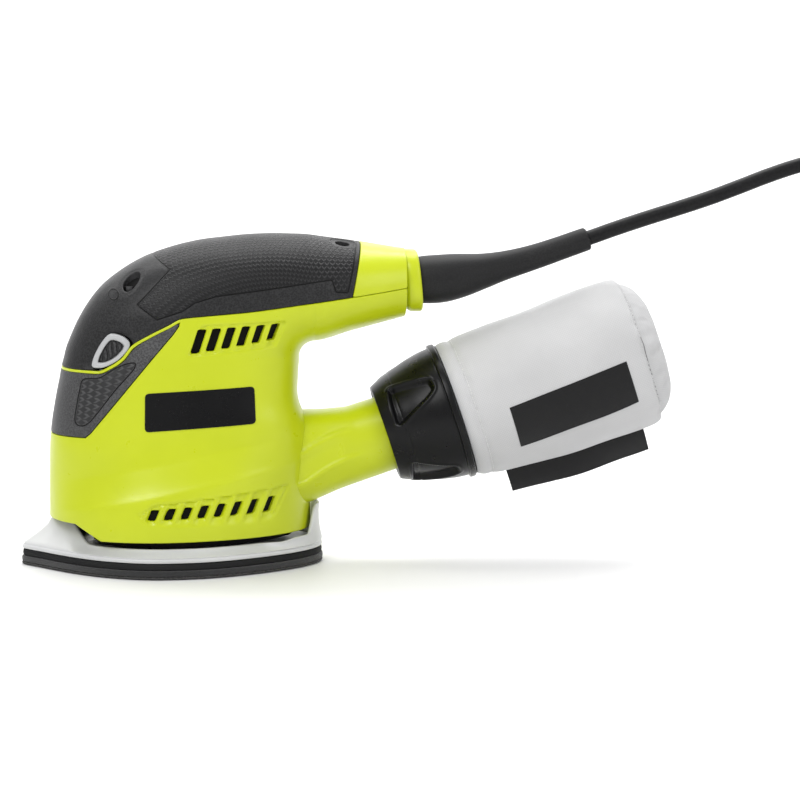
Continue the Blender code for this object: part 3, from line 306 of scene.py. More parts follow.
def fibrous(name, dark, light, scale=900, stretch=(1, 1, 3), strength=0.8, depth=0.0005):
    k = Nodes(name)
    mp = k.t.nodes.new("ShaderNodeMapping")
    mp.inputs["Scale"].default_value = stretch
    k.link(k.co, mp.inputs["Vector"])
    n1 = k.noise(scale, 6.0, 0.7, mp.outputs[0])
    n2 = k.noise(scale * 3.1, 4.0, 0.7, mp.outputs[0])
    mixed = k.math("ADD", k.math("MULTIPLY", n1, 0.6), k.math("MULTIPLY", n2, 0.4))
    col = k.ramp(mixed, [(0.35, dark), (0.65, light)])
    nrm = k.bump(mixed, strength, depth)
    return k.out(col, k.span(mixed, 0.75, 0.95, 0.3, 0.7), nrm, Specular_IOR_Level=0.3,
                 Sheen_Weight=0.25, Sheen_Roughness=0.6)


# the third and fourth colours are the painted shade between the chevrons and the chevrons' painted highlight
M["grip"] = knurled("overmold_grip_zone", (0.012, 0.012, 0.0125), (0.028, 0.028, 0.029),
                    (0.009, 0.009, 0.0095), (0.030, 0.030, 0.031), rough=(0.34, 0.46))
M["panel"] = knurled("bumper_knurled_panel", (0.038, 0.038, 0.039), (0.082, 0.082, 0.084),
                     (0.024, 0.024, 0.025), (0.066, 0.066, 0.068), a=0.0030, b=0.0026)
M["foam"] = fibrous("hook_foam_felt", (0.005, 0.005, 0.0055), (0.026, 0.026, 0.027), scale=700,
                    stretch=(1, 1, 2.5), strength=0.8)


def abrasive(name):
    k = Nodes(name)
    v = k.new("ShaderNodeTexVoronoi", Scale=2200)
    k.link(k.co, v.inputs["Vector"])
    col = k.ramp(v.outputs["Distance"], [(0.1, (0.10, 0.095, 0.09)), (0.6, (0.012, 0.012, 0.012))])
    return k.out(col, k.span(v.outputs["Distance"], 0.5, 0.95), k.bump(v.outputs["Distance"], 1.0, 0.0003),
                 Specular_IOR_Level=0.6)


M["abrasive"] = abrasive("abrasive_grit")


def metal(name, dark, light, rough=(0.25, 0.4), scale=500, stretch=(1, 1, 12), bump=0.15):
    k = Nodes(name)
    mp = k.t.nodes.new("ShaderNodeMapping")
    mp.inputs["Scale"].default_value = stretch
    k.link(k.co, mp.inputs["Vector"])
    n = k.noise(scale, 5.0, 0.6, mp.outputs[0])
    return k.out(k.ramp(n, [(0.3, dark), (0.7, light)]), k.span(n, rough[0], rough[1], 0.3, 0.7),
                 k.bump(n, bump, 0.00005), Metallic=1.0)


M["steel"] = metal("machined_steel", (0.42, 0.42, 0.43), (0.60, 0.60, 0.61))
M["zinc_black"] = metal("blackened_screw", (0.06, 0.06, 0.062), (0.11, 0.11, 0.112), rough=(0.35, 0.5))
M["copper"] = metal("enamelled_copper", (0.55, 0.22, 0.08), (0.78, 0.36, 0.15), rough=(0.25, 0.4), scale=900,
                    stretch=(1, 1, 6), bump=0.5)
M["laminated"] = metal("laminated_iron", (0.16, 0.16, 0.17), (0.34, 0.34, 0.36), rough=(0.4, 0.6), scale=400,
                       stretch=(0.2, 0.2, 8), bump=0.7)
M["brass"] = metal("turned_brass", (0.62, 0.43, 0.14), (0.80, 0.60, 0.25), rough=(0.2, 0.35))
M["carbon"] = plastic("pressed_carbon", (0.02, 0.02, 0.021), (0.045, 0.045, 0.047), rough=(0.5, 0.65),
                      grain=1500, strength=0.3)
M["capacitor"] = plastic("dipped_capacitor", (0.45, 0.26, 0.02), (0.60, 0.36, 0.04), rough=(0.2, 0.3),
                         grain=700, strength=0.1)
M["wire_white"] = plastic("wire_white", (0.60, 0.60, 0.58), (0.68, 0.68, 0.66), rough=(0.35, 0.45),
                          grain=1200, strength=0.06)
M["tie"] = plastic("tie_nylon", (0.012, 0.012, 0.012), (0.02, 0.02, 0.02), rough=(0.35, 0.45),
                   grain=1500, strength=0.08)


def cloth(name, a, b, pitch=0.00062, tone=0.0, bumpiness=0.55, seam=None):
    """Plain weave from two crossed thread waves over the bag's own axes."""
    k = Nodes(name)
    uv = k.t.nodes.new("ShaderNodeUVMap")
    uv.uv_map = "weave"
    sep = k.t.nodes.new("ShaderNodeSeparateXYZ")
    k.link(uv.outputs["UV"], sep.inputs[0])
    f = 2 * math.pi / pitch
    wob = k.math("MULTIPLY", k.noise(90, 3.0), 0.0012)
    su = k.math("SINE", k.math("MULTIPLY", k.math("ADD", sep.outputs[0], wob), f))
    sv = k.math("SINE", k.math("MULTIPLY", k.math("ADD", sep.outputs[1], wob), f))
    su2 = k.math("SINE", k.math("MULTIPLY", sep.outputs[0], f * 0.5))
    sv2 = k.math("SINE", k.math("MULTIPLY", sep.outputs[1], f * 0.5))
    over = k.math("MULTIPLY", su2, sv2)
    weave = k.math("ADD", k.math("MULTIPLY", k.math("ADD", k.math("ABSOLUTE", su), k.math("ABSOLUTE", sv)), 0.5),
                   k.math("MULTIPLY", over, 0.5))
    w01 = k.span(weave, 0.0, 1.0, -0.4, 1.4)
    drift = k.noise(35, 4.0)
    col = k.mix(w01, a, b)
    col = k.mix(k.span(drift, 0.0, 0.22, 0.35, 0.7), col, tuple(0.8 * x for x in a))
    # with a seam, the seam's line is painted dark in broken patches: painted shade in the seam's valley
    if seam:
        far = k.math("ABSOLUTE", k.math("SUBTRACT", k.math("ADD", sep.outputs[1], k.math("MULTIPLY", wob, 0.25)),
                                        seam))
        fold = k.math("MULTIPLY", k.span(far, 1.0, 0.0, 0.00008, 0.00040), k.span(k.noise(55, 2.0), 0.0, 1.0, 0.36, 0.50))
        col = k.mix(fold, col, tuple(0.16 * x for x in a))
    nrm = k.bump(w01, bumpiness, 0.00012)
    nrm = k.bump(drift, 0.12, 0.0015, nrm)
    return k.out(col, k.span(w01, 0.72, 0.9), nrm, Specular_IOR_Level=0.25, Sheen_Weight=0.2,
                 Sheen_Roughness=0.5)


M["bag"] = cloth("bag_weave", (0.43, 0.43, 0.434), (0.56, 0.56, 0.564))
M["patch"] = cloth("patch_weave", (0.003, 0.003, 0.0035), (0.009, 0.009, 0.0095), bumpiness=0.35)
M["patch_line"] = cloth("patch_line_weave", (0.60, 0.60, 0.60), (0.70, 0.70, 0.70), bumpiness=0.35)
M["thread"] = fibrous("seam_thread", (0.50, 0.50, 0.50), (0.70, 0.70, 0.70), scale=2500, stretch=(1, 1, 1),
                      strength=0.4, depth=0.0002)
# darker copy of the seam thread for the seam's fold: painted shade
M["thread_dark"] = fibrous("seam_thread_painted_shade", (0.16, 0.16, 0.165), (0.30, 0.30, 0.305), scale=2500,
                           stretch=(1, 1, 1), strength=0.4, depth=0.0002)


# -------------------------------------------------------------- mesh helpers
def make(name, V, F, mat, body, stands=(), sharp=38.0, mats=None, fmat=None, uv=None,
         zone=None):
    """Piece from vertices in mm and faces."""
    V = np.asarray(V, float)
    me = bpy.data.meshes.new(name)
    me.from_pydata((V * MM).tolist(), [], [list(map(int, f)) for f in F])
    me.validate(clean_customdata=False)
    bm = bmesh.new()
    bm.from_mesh(me)
    if len(bm.faces) < 60000 and all(e.is_manifold for e in bm.edges):
        bmesh.ops.recalc_face_normals(bm, faces=bm.faces)
        bm.to_mesh(me)
    bm.free()
    for m in (mats or [mat]):
        me.materials.append(m)
    if fmat is not None and len(me.polygons) == len(fmat):
        me.polygons.foreach_set("material_index", np.asarray(fmat, np.int32))
    if uv is not None:
        lay = me.uv_layers.new(name="weave")
        idx = np.empty(len(me.loops), np.int32)
        me.loops.foreach_get("vertex_index", idx)
        lay.data.foreach_set("uv", (np.asarray(uv)[idx] * MM).ravel())
        if zone is not None:
            lay = me.uv_layers.new(name="zone")
            lay.data.foreach_set("uv", (np.asarray(zone)[idx] * MM).ravel())
    me.shade_smooth()
    if sharp:
        me.set_sharp_from_angle(angle=math.radians(sharp))
    ob = bpy.data.objects.new(name, me)
    coll.objects.link(ob)
    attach(ob, body)
    if stands:
        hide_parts(*stands)
    return ob


def curve(table):
    """Monotone cubic through (station, value) pairs, for arrays."""
    x = np.array([p[0] for p in table], float)
    y = np.array([p[1] for p in table], float)
    h = np.diff(x)
    dl = np.diff(y) / h
    m = np.zeros(len(x))
    m[0], m[-1] = dl[0], dl[-1]
    for i in range(1, len(x) - 1):
        if dl[i - 1] * dl[i] > 0:
            w1, w2 = 2 * h[i] + h[i - 1], h[i] + 2 * h[i - 1]
            m[i] = (w1 + w2) / (w1 / dl[i - 1] + w2 / dl[i])

    def f(s):
        s = np.clip(np.asarray(s, float), x[0], x[-1])
        i = np.clip(np.searchsorted(x, s) - 1, 0, len(h) - 1)
        u = (s - x[i]) / h[i]
        return (y[i] * (1 + 2 * u) * (1 - u) ** 2 + m[i] * h[i] * u * (1 - u) ** 2
                + y[i + 1] * u * u * (3 - 2 * u) + m[i + 1] * h[i] * u * u * (u - 1))
    return f


def smooth(a, b, t):
    u = np.clip((t - a) / (b - a), 0.0, 1.0)
    return u * u * (3 - 2 * u)


def poly_sd(px, pz, poly):
    """Signed distance to a polygon in the side plane, positive inside."""
    q = np.asarray(poly, float)
    d2 = np.full(px.shape, 1e18)
    inside = np.zeros(px.shape, bool)
    for (ax, az), (bx, bz) in zip(q, np.roll(q, -1, axis=0)):
        ex, ez = bx - ax, bz - az
        wx, wz = px - ax, pz - az
        t = np.clip((wx * ex + wz * ez) / (ex * ex + ez * ez), 0, 1)
        d2 = np.minimum(d2, (wx - ex * t) ** 2 + (wz - ez * t) ** 2)
        cross = ((az > pz) != (bz > pz)) & (px < (bx - ax) * (pz - az) / np.where(bz == az, 1e-9, bz - az) + ax)
        inside ^= cross
    d = np.sqrt(d2)
    return np.where(inside, d, -d)


def line_sd(px, pz, pts):
    """Unsigned distance to an open polyline in the side plane."""
    q = np.asarray(pts, float)
    d2 = np.full(px.shape, 1e18)
    for (ax, az), (bx, bz) in zip(q[:-1], q[1:]):
        ex, ez = bx - ax, bz - az
        wx, wz = px - ax, pz - az
        t = np.clip((wx * ex + wz * ez) / (ex * ex + ez * ez), 0, 1)
        d2 = np.minimum(d2, (wx - ex * t) ** 2 + (wz - ez * t) ** 2)
    return np.sqrt(d2)


def rounded(poly, r, n=5):
    """Polygon with its corners rounded by radius-like distance r."""
    q = [Vector((p[0], p[1])) for p in poly]
    res = []
    for i, p in enumerate(q):
        a, b = q[i - 1], q[(i + 1) % len(q)]
        da, db = (a - p), (b - p)
        ra, rb = min(r, da.length * 0.45), min(r, db.length * 0.45)
        s, e = p + da.normalized() * ra, p + db.normalized() * rb
        for k in range(n + 1):
            t = k / n
            res.append(tuple(s * (1 - t) ** 2 + p * 2 * t * (1 - t) + e * t * t))
    return res


# ------------------------------------------------------------ loft utilities
def ring_mesh(rings, cap0=True, cap1=True):
    """Vertices and faces through equal rings of points; caps are fans."""
    R = np.asarray(rings, float)
    n, m = R.shape[0], R.shape[1]
    V = R.reshape(-1, 3)
    F = []
    i, j = np.meshgrid(np.arange(n - 1), np.arange(m), indexing="ij")
    a, b = (i * m + j).ravel(), (i * m + (j + 1) % m).ravel()
    F = np.stack([a, b, b + m, a + m], 1).tolist()
    extra = []
    if cap0:
        extra.append(R[0].mean(axis=0))
        c = n * m + len(extra) - 1
        F += [[(k + 1) % m, k, c] for k in range(m)]
    if cap1:
        extra.append(R[-1].mean(axis=0))
        c = n * m + len(extra) - 1
        o = (n - 1) * m
        F += [[o + k, o + (k + 1) % m, c] for k in range(m)]
    if extra:
        V = np.vstack([V, extra])
    return V, F


def angles(n):
    return np.linspace(0, 2 * math.pi, n, endpoint=False)


def resample(points, count):
    """Catmull-Rom through the points, evenly spaced."""
    p = np.asarray(points, float)
    p = np.vstack([2 * p[0] - p[1], p, 2 * p[-1] - p[-2]])
    fine = []
    for a, b, c, d in zip(p, p[1:], p[2:], p[3:]):
        t = np.linspace(0, 1, 40, endpoint=False)[:, None]
        fine.append(0.5 * (2 * b + (c - a) * t + (2 * a - 5 * b + 4 * c - d) * t ** 2
                           + (3 * b - a - 3 * c + d) * t ** 3))
    fine = np.vstack(fine + [p[-2][None]])
    run = np.concatenate([[0], np.cumsum(np.linalg.norm(np.diff(fine, axis=0), axis=1))])
    s = np.linspace(0, run[-1], count)
    return np.stack([np.interp(s, run, fine[:, k]) for k in range(fine.shape[1])], axis=1), run[-1]


def even(points, count):
    """Evenly spaced along the straight pieces between the points."""
    p = np.asarray(points, float)
    run = np.concatenate([[0], np.cumsum(np.linalg.norm(np.diff(p, axis=0), axis=1))])
    s = np.linspace(0, run[-1], count)
    return np.stack([np.interp(s, run, p[:, k]) for k in range(p.shape[1])], axis=1)


def frames(path, up=(0, 0, 1)):
    """Tangent and two normals along a path."""
    t = np.gradient(path, axis=0)
    t /= np.linalg.norm(t, axis=1, keepdims=True)
    u = np.asarray(up, float)
    a = np.cross(t, u)
    a /= np.linalg.norm(a, axis=1, keepdims=True)
    b = np.cross(a, t)
    return t, a, b


# ------------------------------------------------------------ housing's form
# One swept form: stations climb the trunk, turn about PIVOT, run back along the handle.
PX, PZ = 57.0, 96.5
S_HANDLE = PZ + 90.0


def at_x(x):
    return S_HANDLE + x - PX


outer_r = curve([(16, 122.2), (22, 122.2), (35, 122.1), (52.7, 121.8), (62, 121.2), (76, 119.1),
                 (85.3, 117.2), (96.5, 114.7), (102.5, 111.2), (108.5, 107.3), (114.5, 102.8),
                 (120.5, 96.8), (126.5, 90.5), (133.5, 82.8), (141.5, 75.0), (151.5, 67.0),
                 (166.5, 59.7), (176.5, 56.8), (186.5, 55.3), (at_x(65.4), 54.1),
                 (at_x(79.3), 52.2), (at_x(99.3), 49.0), (at_x(104), 48.5)])
inner_r = curve([(16, 1.4), (27, 1.4), (40, 1.6), (52, 1.8), (62, 2.6), (70, 4.6), (76, 6.6),
                 (80, 7.1), (89, 6.7), (96.5, 6.2), (150, 6.0), (170, 6.1), (186.5, 6.3),
                 (at_x(74.6), 10.8), (at_x(97.9), 16.7), (at_x(104), 18.3)])
half_w = curve([(4, 45.3), (16, 45.3), (26, 45.1), (37.5, 44.2), (40.4, 43.7), (42.4, 42.7),
                (52.2, 39.4), (54.2, 38.8), (58, 38.2), (62, 37.7), (76, 36.8), (90, 36.2),
                (96.5, 36.0), (112, 35.6), (127, 34.8), (141, 33.8), (156, 32.6), (171, 31.4),
                (186.5, 30.2), (at_x(70), 28.0), (at_x(85), 23.8), (at_x(98), 18.2),
                (at_x(104), 15.6)])
widest_r = curve([(16, 71.0), (30, 69.0), (50, 66.0), (70, 64.0), (96.5, 61.0), (120, 52.0),
                  (141, 42.0), (165, 33.0), (186.5, 28.5), (at_x(77), 30.0), (at_x(98), 32.5),
                  (at_x(104), 33.2)])
power_out = curve([(16, 2.0), (40, 2.1), (60, 2.4), (96.5, 2.4), (130, 2.3), (186.5, 2.15),
                   (at_x(104), 2.1)])
power_in = curve([(16, 1.85), (40, 2.1), (56, 2.5), (70, 2.9), (96.5, 2.8), (130, 2.6),
                  (186.5, 2.3), (at_x(104), 2.1)])
S_END = at_x(100.2)


def surf(s, t, inset=0.0):
    ro, ri, m = outer_r(s) - inset, inner_r(s) + inset, widest_r(s)
    c, q = np.cos(t), np.sin(t)
    n = np.where(c > 0, power_out(s), power_in(s))
    rho = (np.abs(c) ** n + np.abs(q) ** n + 1e-12) ** (-1.0 / n)
    u, v = rho * c, rho * q
    r = m + u * np.where(c > 0, ro - m, m - ri)
    a = np.radians(np.clip(s - PZ, 0, 90))
    x = PX - r * np.cos(a) + np.maximum(s - S_HANDLE, 0)
    z = np.minimum(s, PZ) + r * np.sin(a)
    shift = 0.20 * (x - 4.0) * (1 - smooth(62, 92, s))
    w = half_w(s - shift) - inset
    return np.stack([x, w * v, z], axis=-1)


def normals(s, t, inset=0.0):
    e = 0.02
    ds = surf(s + e, t, inset) - surf(s - e, t, inset)
    dt = surf(s, t + e * 0.02, inset) - surf(s, t - e * 0.02, inset)
    n = np.cross(ds, dt)
    n /= np.linalg.norm(n, axis=-1, keepdims=True) + 1e-12
    return n


# side-plane lines of the mouldings (x, z)
PARTING = [(-80, 92.5), (-42, 92.5), (-36, 95.0), (-31, 98.5), (-26.5, 104.0), (-18, 109.2),
           (-9.9, 113.3), (-3.6, 116.4), (4.5, 117.2), (27, 119.0), (49.8, 121.6),
           (73.6, 124.6), (115, 129.9)]
SKIN_REAR = [(62.0, 74), (74.1, 124.9), (76.6, 137.1), (79.0, 148.5), (80.5, 160)]
BUMPER = [(-95, 62.0), (-58.5, 62.0), (-47.8, 62.1), (-45.5, 64.1), (-36.3, 75.2), (-27.2, 86.2),
          (-18.1, 97.1), (-7.7, 109.2), (-5.0, 113.0), (-4.0, 120.0), (-95, 120.0)]
SWITCH_OUT = [(-44.9, 94.9), (-43.6, 93.6), (-39.3, 93.6), (-35, 95.5), (-31.4, 97.9), (-28, 101.6),
              (-26.6, 104.4), (-27.2, 106.4), (-30, 108.6), (-34.4, 109.8), (-37, 109.2),
              (-40.3, 105.2), (-43.4, 99.6)]
SWITCH_C = (-35.4, 100.2)
BADGE = rounded([(-20.9, 65.2), (29.5, 68.4), (28.9, 85.4), (-20.6, 82.8)], 2.0, 8)
NOTCH = [(-120, 5), (-120, 22.4), (-53.0, 22.6), (-41.3, 15.9), (-41.3, 5)]
GRIP_ZONE = [(-45, 166), (-16.7, 143.7), (-8.7, 137.8), (-23.7, 122.4), (-14.8, 115.9),
             (-3.5, 119.6), (2.3, 123.4), (12, 126.3), (31.6, 128.6), (64.5, 132.9), (66.3, 127.3),
             (71.8, 127.0), (77.0, 148.6), (78.2, 156), (79.0, 168)]
INNER_PANEL = rounded([(-48.9, 88.6), (-40.7, 89.3), (-34.5, 93.4), (-29.3, 95.9), (-24.2, 96.9),
                       (-25.2, 93.7), (-34.0, 84.0), (-40.8, 75.1), (-45.4, 69.3), (-48.2, 67.2),
                       (-51.6, 67.5), (-52.6, 69.9), (-51.0, 79.0)], 2.0)
SWITCH_SMOOTH = rounded(SWITCH_OUT, 3.0, 4)
f_parting = curve(PARTING)
FRONT_HOLE = (-26.4, 20.6, 4.0)     # x, |y|, radius
REAR_HOLE = (70.6, 8.6, 3.3)


def slots(n, x0, x1, zlo, zhi, lean, width):
    res = []
    for i in range(n):
        k = i / (n - 1)
        x = x0 + (x1 - x0) * k
        a = zlo[0] + (zlo[1] - zlo[0]) * k
        b = zhi[0] + (zhi[1] - zhi[0]) * k
        d = lean * (b - a)
        res.append([(x - width / 2, a), (x + width / 2, a), (x + d + width / 2, b),
                    (x + d - width / 2, b)])
    return res


UP_VENTS = [rounded(p, 0.5, 2) for p in slots(6, 1.9, 36.6, (100.6, 105.7), (111.5, 113.2), 0.33, 4.0)]
LOW_VENTS = [rounded(p, 0.4, 2) for p in slots(8, -18.6, 34.4, (26.0, 27.3), (30.9, 34.2), 0.42, 3.8)]
UP_RECESS = rounded([(-1.6, 98.9), (5.2, 113.6), (44.6, 114.9), (38.8, 102.6), (36.0, 102.0)], 2.5)
LOW_RECESS = rounded([(-24.6, 28.3), (-17.2, 33.2), (45.6, 39.4), (36.0, 22.0), (-19.0, 24.0)], 1.2)


def side_fields(P):
    x, y, z = P[:, 0], P[:, 1], P[:, 2]
    F = {}
    zp = f_parting(x)
    slope = (f_parting(x + 0.5) - f_parting(x - 0.5))
    F["part"] = (z - zp) / np.sqrt(1 + slope ** 2)
    q = np.array(SKIN_REAR)
    F["rear"] = (np.interp(z, q[:, 1], q[:, 0]) - x) * 0.976
    F["bump"] = np.minimum(poly_sd(x, z, BUMPER), -F["part"] - 1.15)
    return F


def grid(s_vals, nt, t0=-math.pi, t1=math.pi):
    ts = np.linspace(t0, t1, nt + 1)
    S, T = np.meshgrid(s_vals, ts, indexing="ij")
    A = np.stack([S.ravel(), T.ravel()], axis=1)
    n, m = len(s_vals), nt + 1
    i, j = np.meshgrid(np.arange(n - 1), np.arange(nt), indexing="ij")
    a = (i * m + j).ravel()
    flip = ((i + j) % 2 == 0).ravel()
    q = np.stack([a, a + 1, a + m + 1, a + m], axis=1)
    t_a = np.where(flip[:, None], q[:, [0, 1, 2]], q[:, [0, 1, 3]])
    t_b = np.where(flip[:, None], q[:, [0, 2, 3]], q[:, [1, 2, 3]])
    return A, np.concatenate([t_a, t_b])


def split(A, F, g, level):
    """Splits triangles along g = level; returns attributes, faces, g."""
    h = g - level
    h = np.where(np.abs(h) < 1e-3, 1e-3, h)
    s = h > 0
    k = s[F].sum(axis=1)
    mixed = (k == 1) | (k == 2)
    keep, cut = F[~mixed], F[mixed]
    if len(cut) == 0:
        return A, F, g
    odd = np.where(k[mixed][:, None] == 1, s[cut], ~s[cut]).argmax(axis=1)
    r = np.arange(len(cut))
    i0, i1, i2 = cut[r, odd], cut[r, (odd + 1) % 3], cut[r, (odd + 2) % 3]
    e = np.sort(np.concatenate([np.stack([i0, i1], 1), np.stack([i0, i2], 1)]), axis=1)
    key = e[:, 0].astype(np.int64) * len(A) + e[:, 1]
    uq, first, inv = np.unique(key, return_index=True, return_inverse=True)
    ea, eb = e[first, 0], e[first, 1]
    w = h[ea] / (h[ea] - h[eb])
    newA = A[ea] * (1 - w)[:, None] + A[eb] * w[:, None]
    base = len(A)
    p1, p2 = base + inv[:len(cut)], base + inv[len(cut):]
    A = np.vstack([A, newA])
    g = np.concatenate([g, np.full(len(newA), level)])
    tri = np.concatenate([np.stack([i0, p1, p2], 1), np.stack([p1, i1, i2], 1),
                          np.stack([p1, i2, p2], 1)])
    return A, np.concatenate([keep, tri]), g


def compact(A, F):
    used = np.unique(F)
    m = np.full(len(A), -1)
    m[used] = np.arange(len(used))
    return A[used], m[F], used


def shell(fields, s_vals, nt, region, height, radius, wall, t0=-math.pi, t1=math.pi,
          levels=(0.0, 0.08, 0.3, 0.62, 1.0), vertical_holes=()):
    """Part of the housing's surface where region > 0, its edges rounded and turned in.

    region(P) gives a signed distance, height(P) an outward offset.
    """
    A, F = grid(s_vals, nt, t0, t1)
    P = surf(A[:, 0], A[:, 1])
    g = region(P)
    near = (g[F].max(axis=1) > -3.0)
    A, F, used = compact(A, F[near])
    g = g[used]
    A, F, g = split(A, F, g, 0.0)
    F = F[g[F].mean(axis=1) > 0]
    A, F, used = compact(A, F)
    g = g[used]
    for lv in levels[1:]:
        A, F, g = split(A, F, g, lv * radius)
    P = surf(A[:, 0], A[:, 1])
    UV = np.stack([np.interp(A[:, 0], S_RUN, L_RUN), np.interp(A[:, 1], T_RUN, G_RUN)], 1)
    # weld the seam of the ring
    N = normals(A[:, 0], A[:, 1])
    g = np.maximum(g, 0)
    rr = np.clip(radius - g, 0, radius)
    P2 = P + N * (height(P) - (radius - np.sqrt(np.maximum(radius ** 2 - rr ** 2, 0))))[:, None]
    key = np.round(P2 * 500).astype(np.int64)
    _, idx, inv = np.unique(key, axis=0, return_index=True, return_inverse=True)
    inv = inv.ravel()
    P2, N, g, UV = P2[idx], N[idx], g[idx], UV[idx]
    F = inv[F]
    F = F[(F[:, 0] != F[:, 1]) & (F[:, 1] != F[:, 2]) & (F[:, 0] != F[:, 2])]
    fn = np.cross(P2[F[:, 1]] - P2[F[:, 0]], P2[F[:, 2]] - P2[F[:, 0]])
    if (fn * N[F[:, 0]]).sum() < 0:
        F = F[:, ::-1]
    # edges used once run round the piece: turn them inwards
    e = np.concatenate([F[:, [0, 1]], F[:, [1, 2]], F[:, [2, 0]]])
    es = np.sort(e, axis=1)
    k = es[:, 0].astype(np.int64) * len(P2) + es[:, 1]
    uq, cnt = np.unique(k, return_counts=True)
    once = np.isin(k, uq[cnt == 1])
    be = e[once]
    bv = np.unique(be)
    m = np.full(len(P2), -1)
    m[bv] = len(P2) + np.arange(len(bv))
    m2 = np.full(len(P2), -1)
    m2[bv] = len(P2) + len(bv) + np.arange(len(bv))
    D = -N[bv]
    for (hx, hy, hr) in vertical_holes:
        d = np.hypot(P2[bv, 0] - hx, np.abs(P2[bv, 1]) - hy)
        near = (d < hr + 1.2) & (P2[bv, 2] > 110)
        D[near] = (0, 0, -1.6)
    in1 = P2[bv] + D * wall * 0.5
    in2 = P2[bv] + D * wall
    V = np.vstack([P2, in1, in2])
    UV = np.vstack([UV, UV[bv], UV[bv]])
    q1 = np.stack([be[:, 1], be[:, 0], m[be[:, 0]], m[be[:, 1]]], 1)
    q2 = np.stack([m[be[:, 1]], m[be[:, 0]], m2[be[:, 0]], m2[be[:, 1]]], 1)
    faces = [tuple(f) for f in F.tolist()] + [tuple(f) for f in q1.tolist()] + [tuple(f) for f in q2.tolist()]
    return V, faces, UV


S_RUN = np.linspace(15.0, 240.0, 600)
_line = surf(S_RUN, np.zeros(600))
L_RUN = np.concatenate([[0], np.cumsum(np.linalg.norm(np.diff(_line, axis=0), axis=1))])
T_RUN = np.linspace(-math.pi, math.pi, 721)
_line = surf(np.full(721, 150.0), T_RUN)
G_RUN = np.concatenate([[0], np.cumsum(np.linalg.norm(np.diff(_line, axis=0), axis=1))])
G_RUN -= G_RUN[360]


FINE = 1.0
S_TRUNK = np.concatenate([np.arange(15.9, 96.5, 0.9 * FINE), np.arange(96.5, 186.5, 0.62 * FINE),
                          np.arange(186.5, S_END - 0.3, 0.9 * FINE), [S_END]])
NT = int(330 / FINE)


def dimple(P):
    """Scoop around the switch that runs off under the parting line."""
    x, y, z = P[:, 0], P[:, 1], P[:, 2]
    d = -poly_sd(x, z, SWITCH_SMOOTH)
    side = smooth(14, 24, np.abs(y))
    near = 1 - smooth(0.4, 5.0, d)
    fan = (1 - smooth(2.0, 10.0, np.hypot((x + 24.0) / 1.9, z - 108.0))) * 0.8
    return -side * (1.5 * near + 1.0 * fan)


def h_dark(P):
    x, y, z = P[:, 0], P[:, 1], P[:, 2]
    d = poly_sd(x, z, GRIP_ZONE)
    h = dimple(P)
    h += -0.22 * np.exp(-((d - 0.0) / 0.5) ** 2)
    if True:
        pocket = np.hypot(x - REAR_HOLE[0], np.abs(y) - REAR_HOLE[1]) - 5.6
        on = (z > 138)
        h += np.where(on, -0.7 * (1 - smooth(-0.9, 0.5, pocket)), 0)
    hf = np.hypot(x - FRONT_HOLE[0], np.abs(y) - FRONT_HOLE[1])
    h += np.where(z > 110, -0.5 * (1 - smooth(4.6, 6.4, hf)), 0)
    o = np.abs(np.sqrt((x + 34.3) ** 2 + (z - 126.6) ** 2 * 0.95) - 2.25)
    h += np.where(y < -8, 0.12 * (1 - smooth(0.3, 0.8, o)), 0)
    return h


def h_bumper(P):
    x, y, z = P[:, 0], P[:, 1], P[:, 2]
    d = poly_sd(x, z, INNER_PANEL)
    h = dimple(P)
    h += -0.35 * np.exp(-(d / 0.38) ** 2) - 0.35 * smooth(0.0, 0.9, d)
    return h


def h_lower(P):
    x, y, z = P[:, 0], P[:, 1], P[:, 2]
    side = smooth(8, 16, np.abs(y))
    h = -0.95 * smooth(-0.1, 1.0, poly_sd(x, z, UP_RECESS)) * side
    dl = poly_sd(x, z, LOW_RECESS)
    lowfade = smooth(22.5, 26.5, z)
    h += -1.3 * smooth(-0.1, 0.9, dl) * side * lowfade
    # ribs between the lower slots run on below them
    ph = (x - 0.42 * (z - 26.5) + 18.6) / 7.571
    rib = 0.5 - 0.5 * np.cos(2 * math.pi * (ph - 0.0))
    inside = smooth(0.0, 1.5, dl) * lowfade
    h += 1.1 * inside * smooth(0.40, 0.90, rib) * side
    ph2 = (x - 0.33 * (z - 104.0) - 3.2) / 6.92
    rib2 = 0.5 - 0.5 * np.cos(2 * math.pi * ph2)
    h += 0.6 * smooth(0.3, 1.2, poly_sd(x, z, UP_RECESS)) * smooth(0.4, 0.95, rib2) * side
    h += dimple(P) * smooth(-9.0, 0.0, side_fields(P)["part"])
    return h


def r_lower(P):
    x, z = P[:, 0], P[:, 2]
    F = side_fields(P)
    g = np.minimum(-F["part"] - 0.10, -poly_sd(x, z, BUMPER) - 0.12)
    g = np.minimum(g, -poly_sd(x, z, NOTCH))
    g = np.minimum(g, np.where(x > 60, 100.0 - x, 9.0))
    for p in UP_VENTS + LOW_VENTS:
        g = np.minimum(g, -poly_sd(x, z, p))
    g = np.where(z < 19, np.minimum(g, z - 15.92), g)
    g = np.minimum(g, np.where(np.abs(P[:, 1]) > 14, -poly_sd(x, z, SWITCH_SMOOTH) - 0.45, 9.0))
    return g


def r_dark(P):
    x, y, z = P[:, 0], P[:, 1], P[:, 2]
    F = side_fields(P)
    g = np.minimum(F["part"] - 0.14, F["rear"] - 0.14)
    hf = np.hypot(x - FRONT_HOLE[0], np.abs(y) - FRONT_HOLE[1]) - FRONT_HOLE[2]
    g = np.minimum(g, np.where(z > 110, hf, 9.0))
    hr = np.hypot(x - REAR_HOLE[0], np.abs(y) - REAR_HOLE[1]) - REAR_HOLE[2]
    g = np.minimum(g, np.where(z > 138, hr, 9.0))
    g = np.minimum(g, np.where(np.abs(y) > 14, -poly_sd(x, z, SWITCH_SMOOTH) - 0.45, 9.0))
    return g


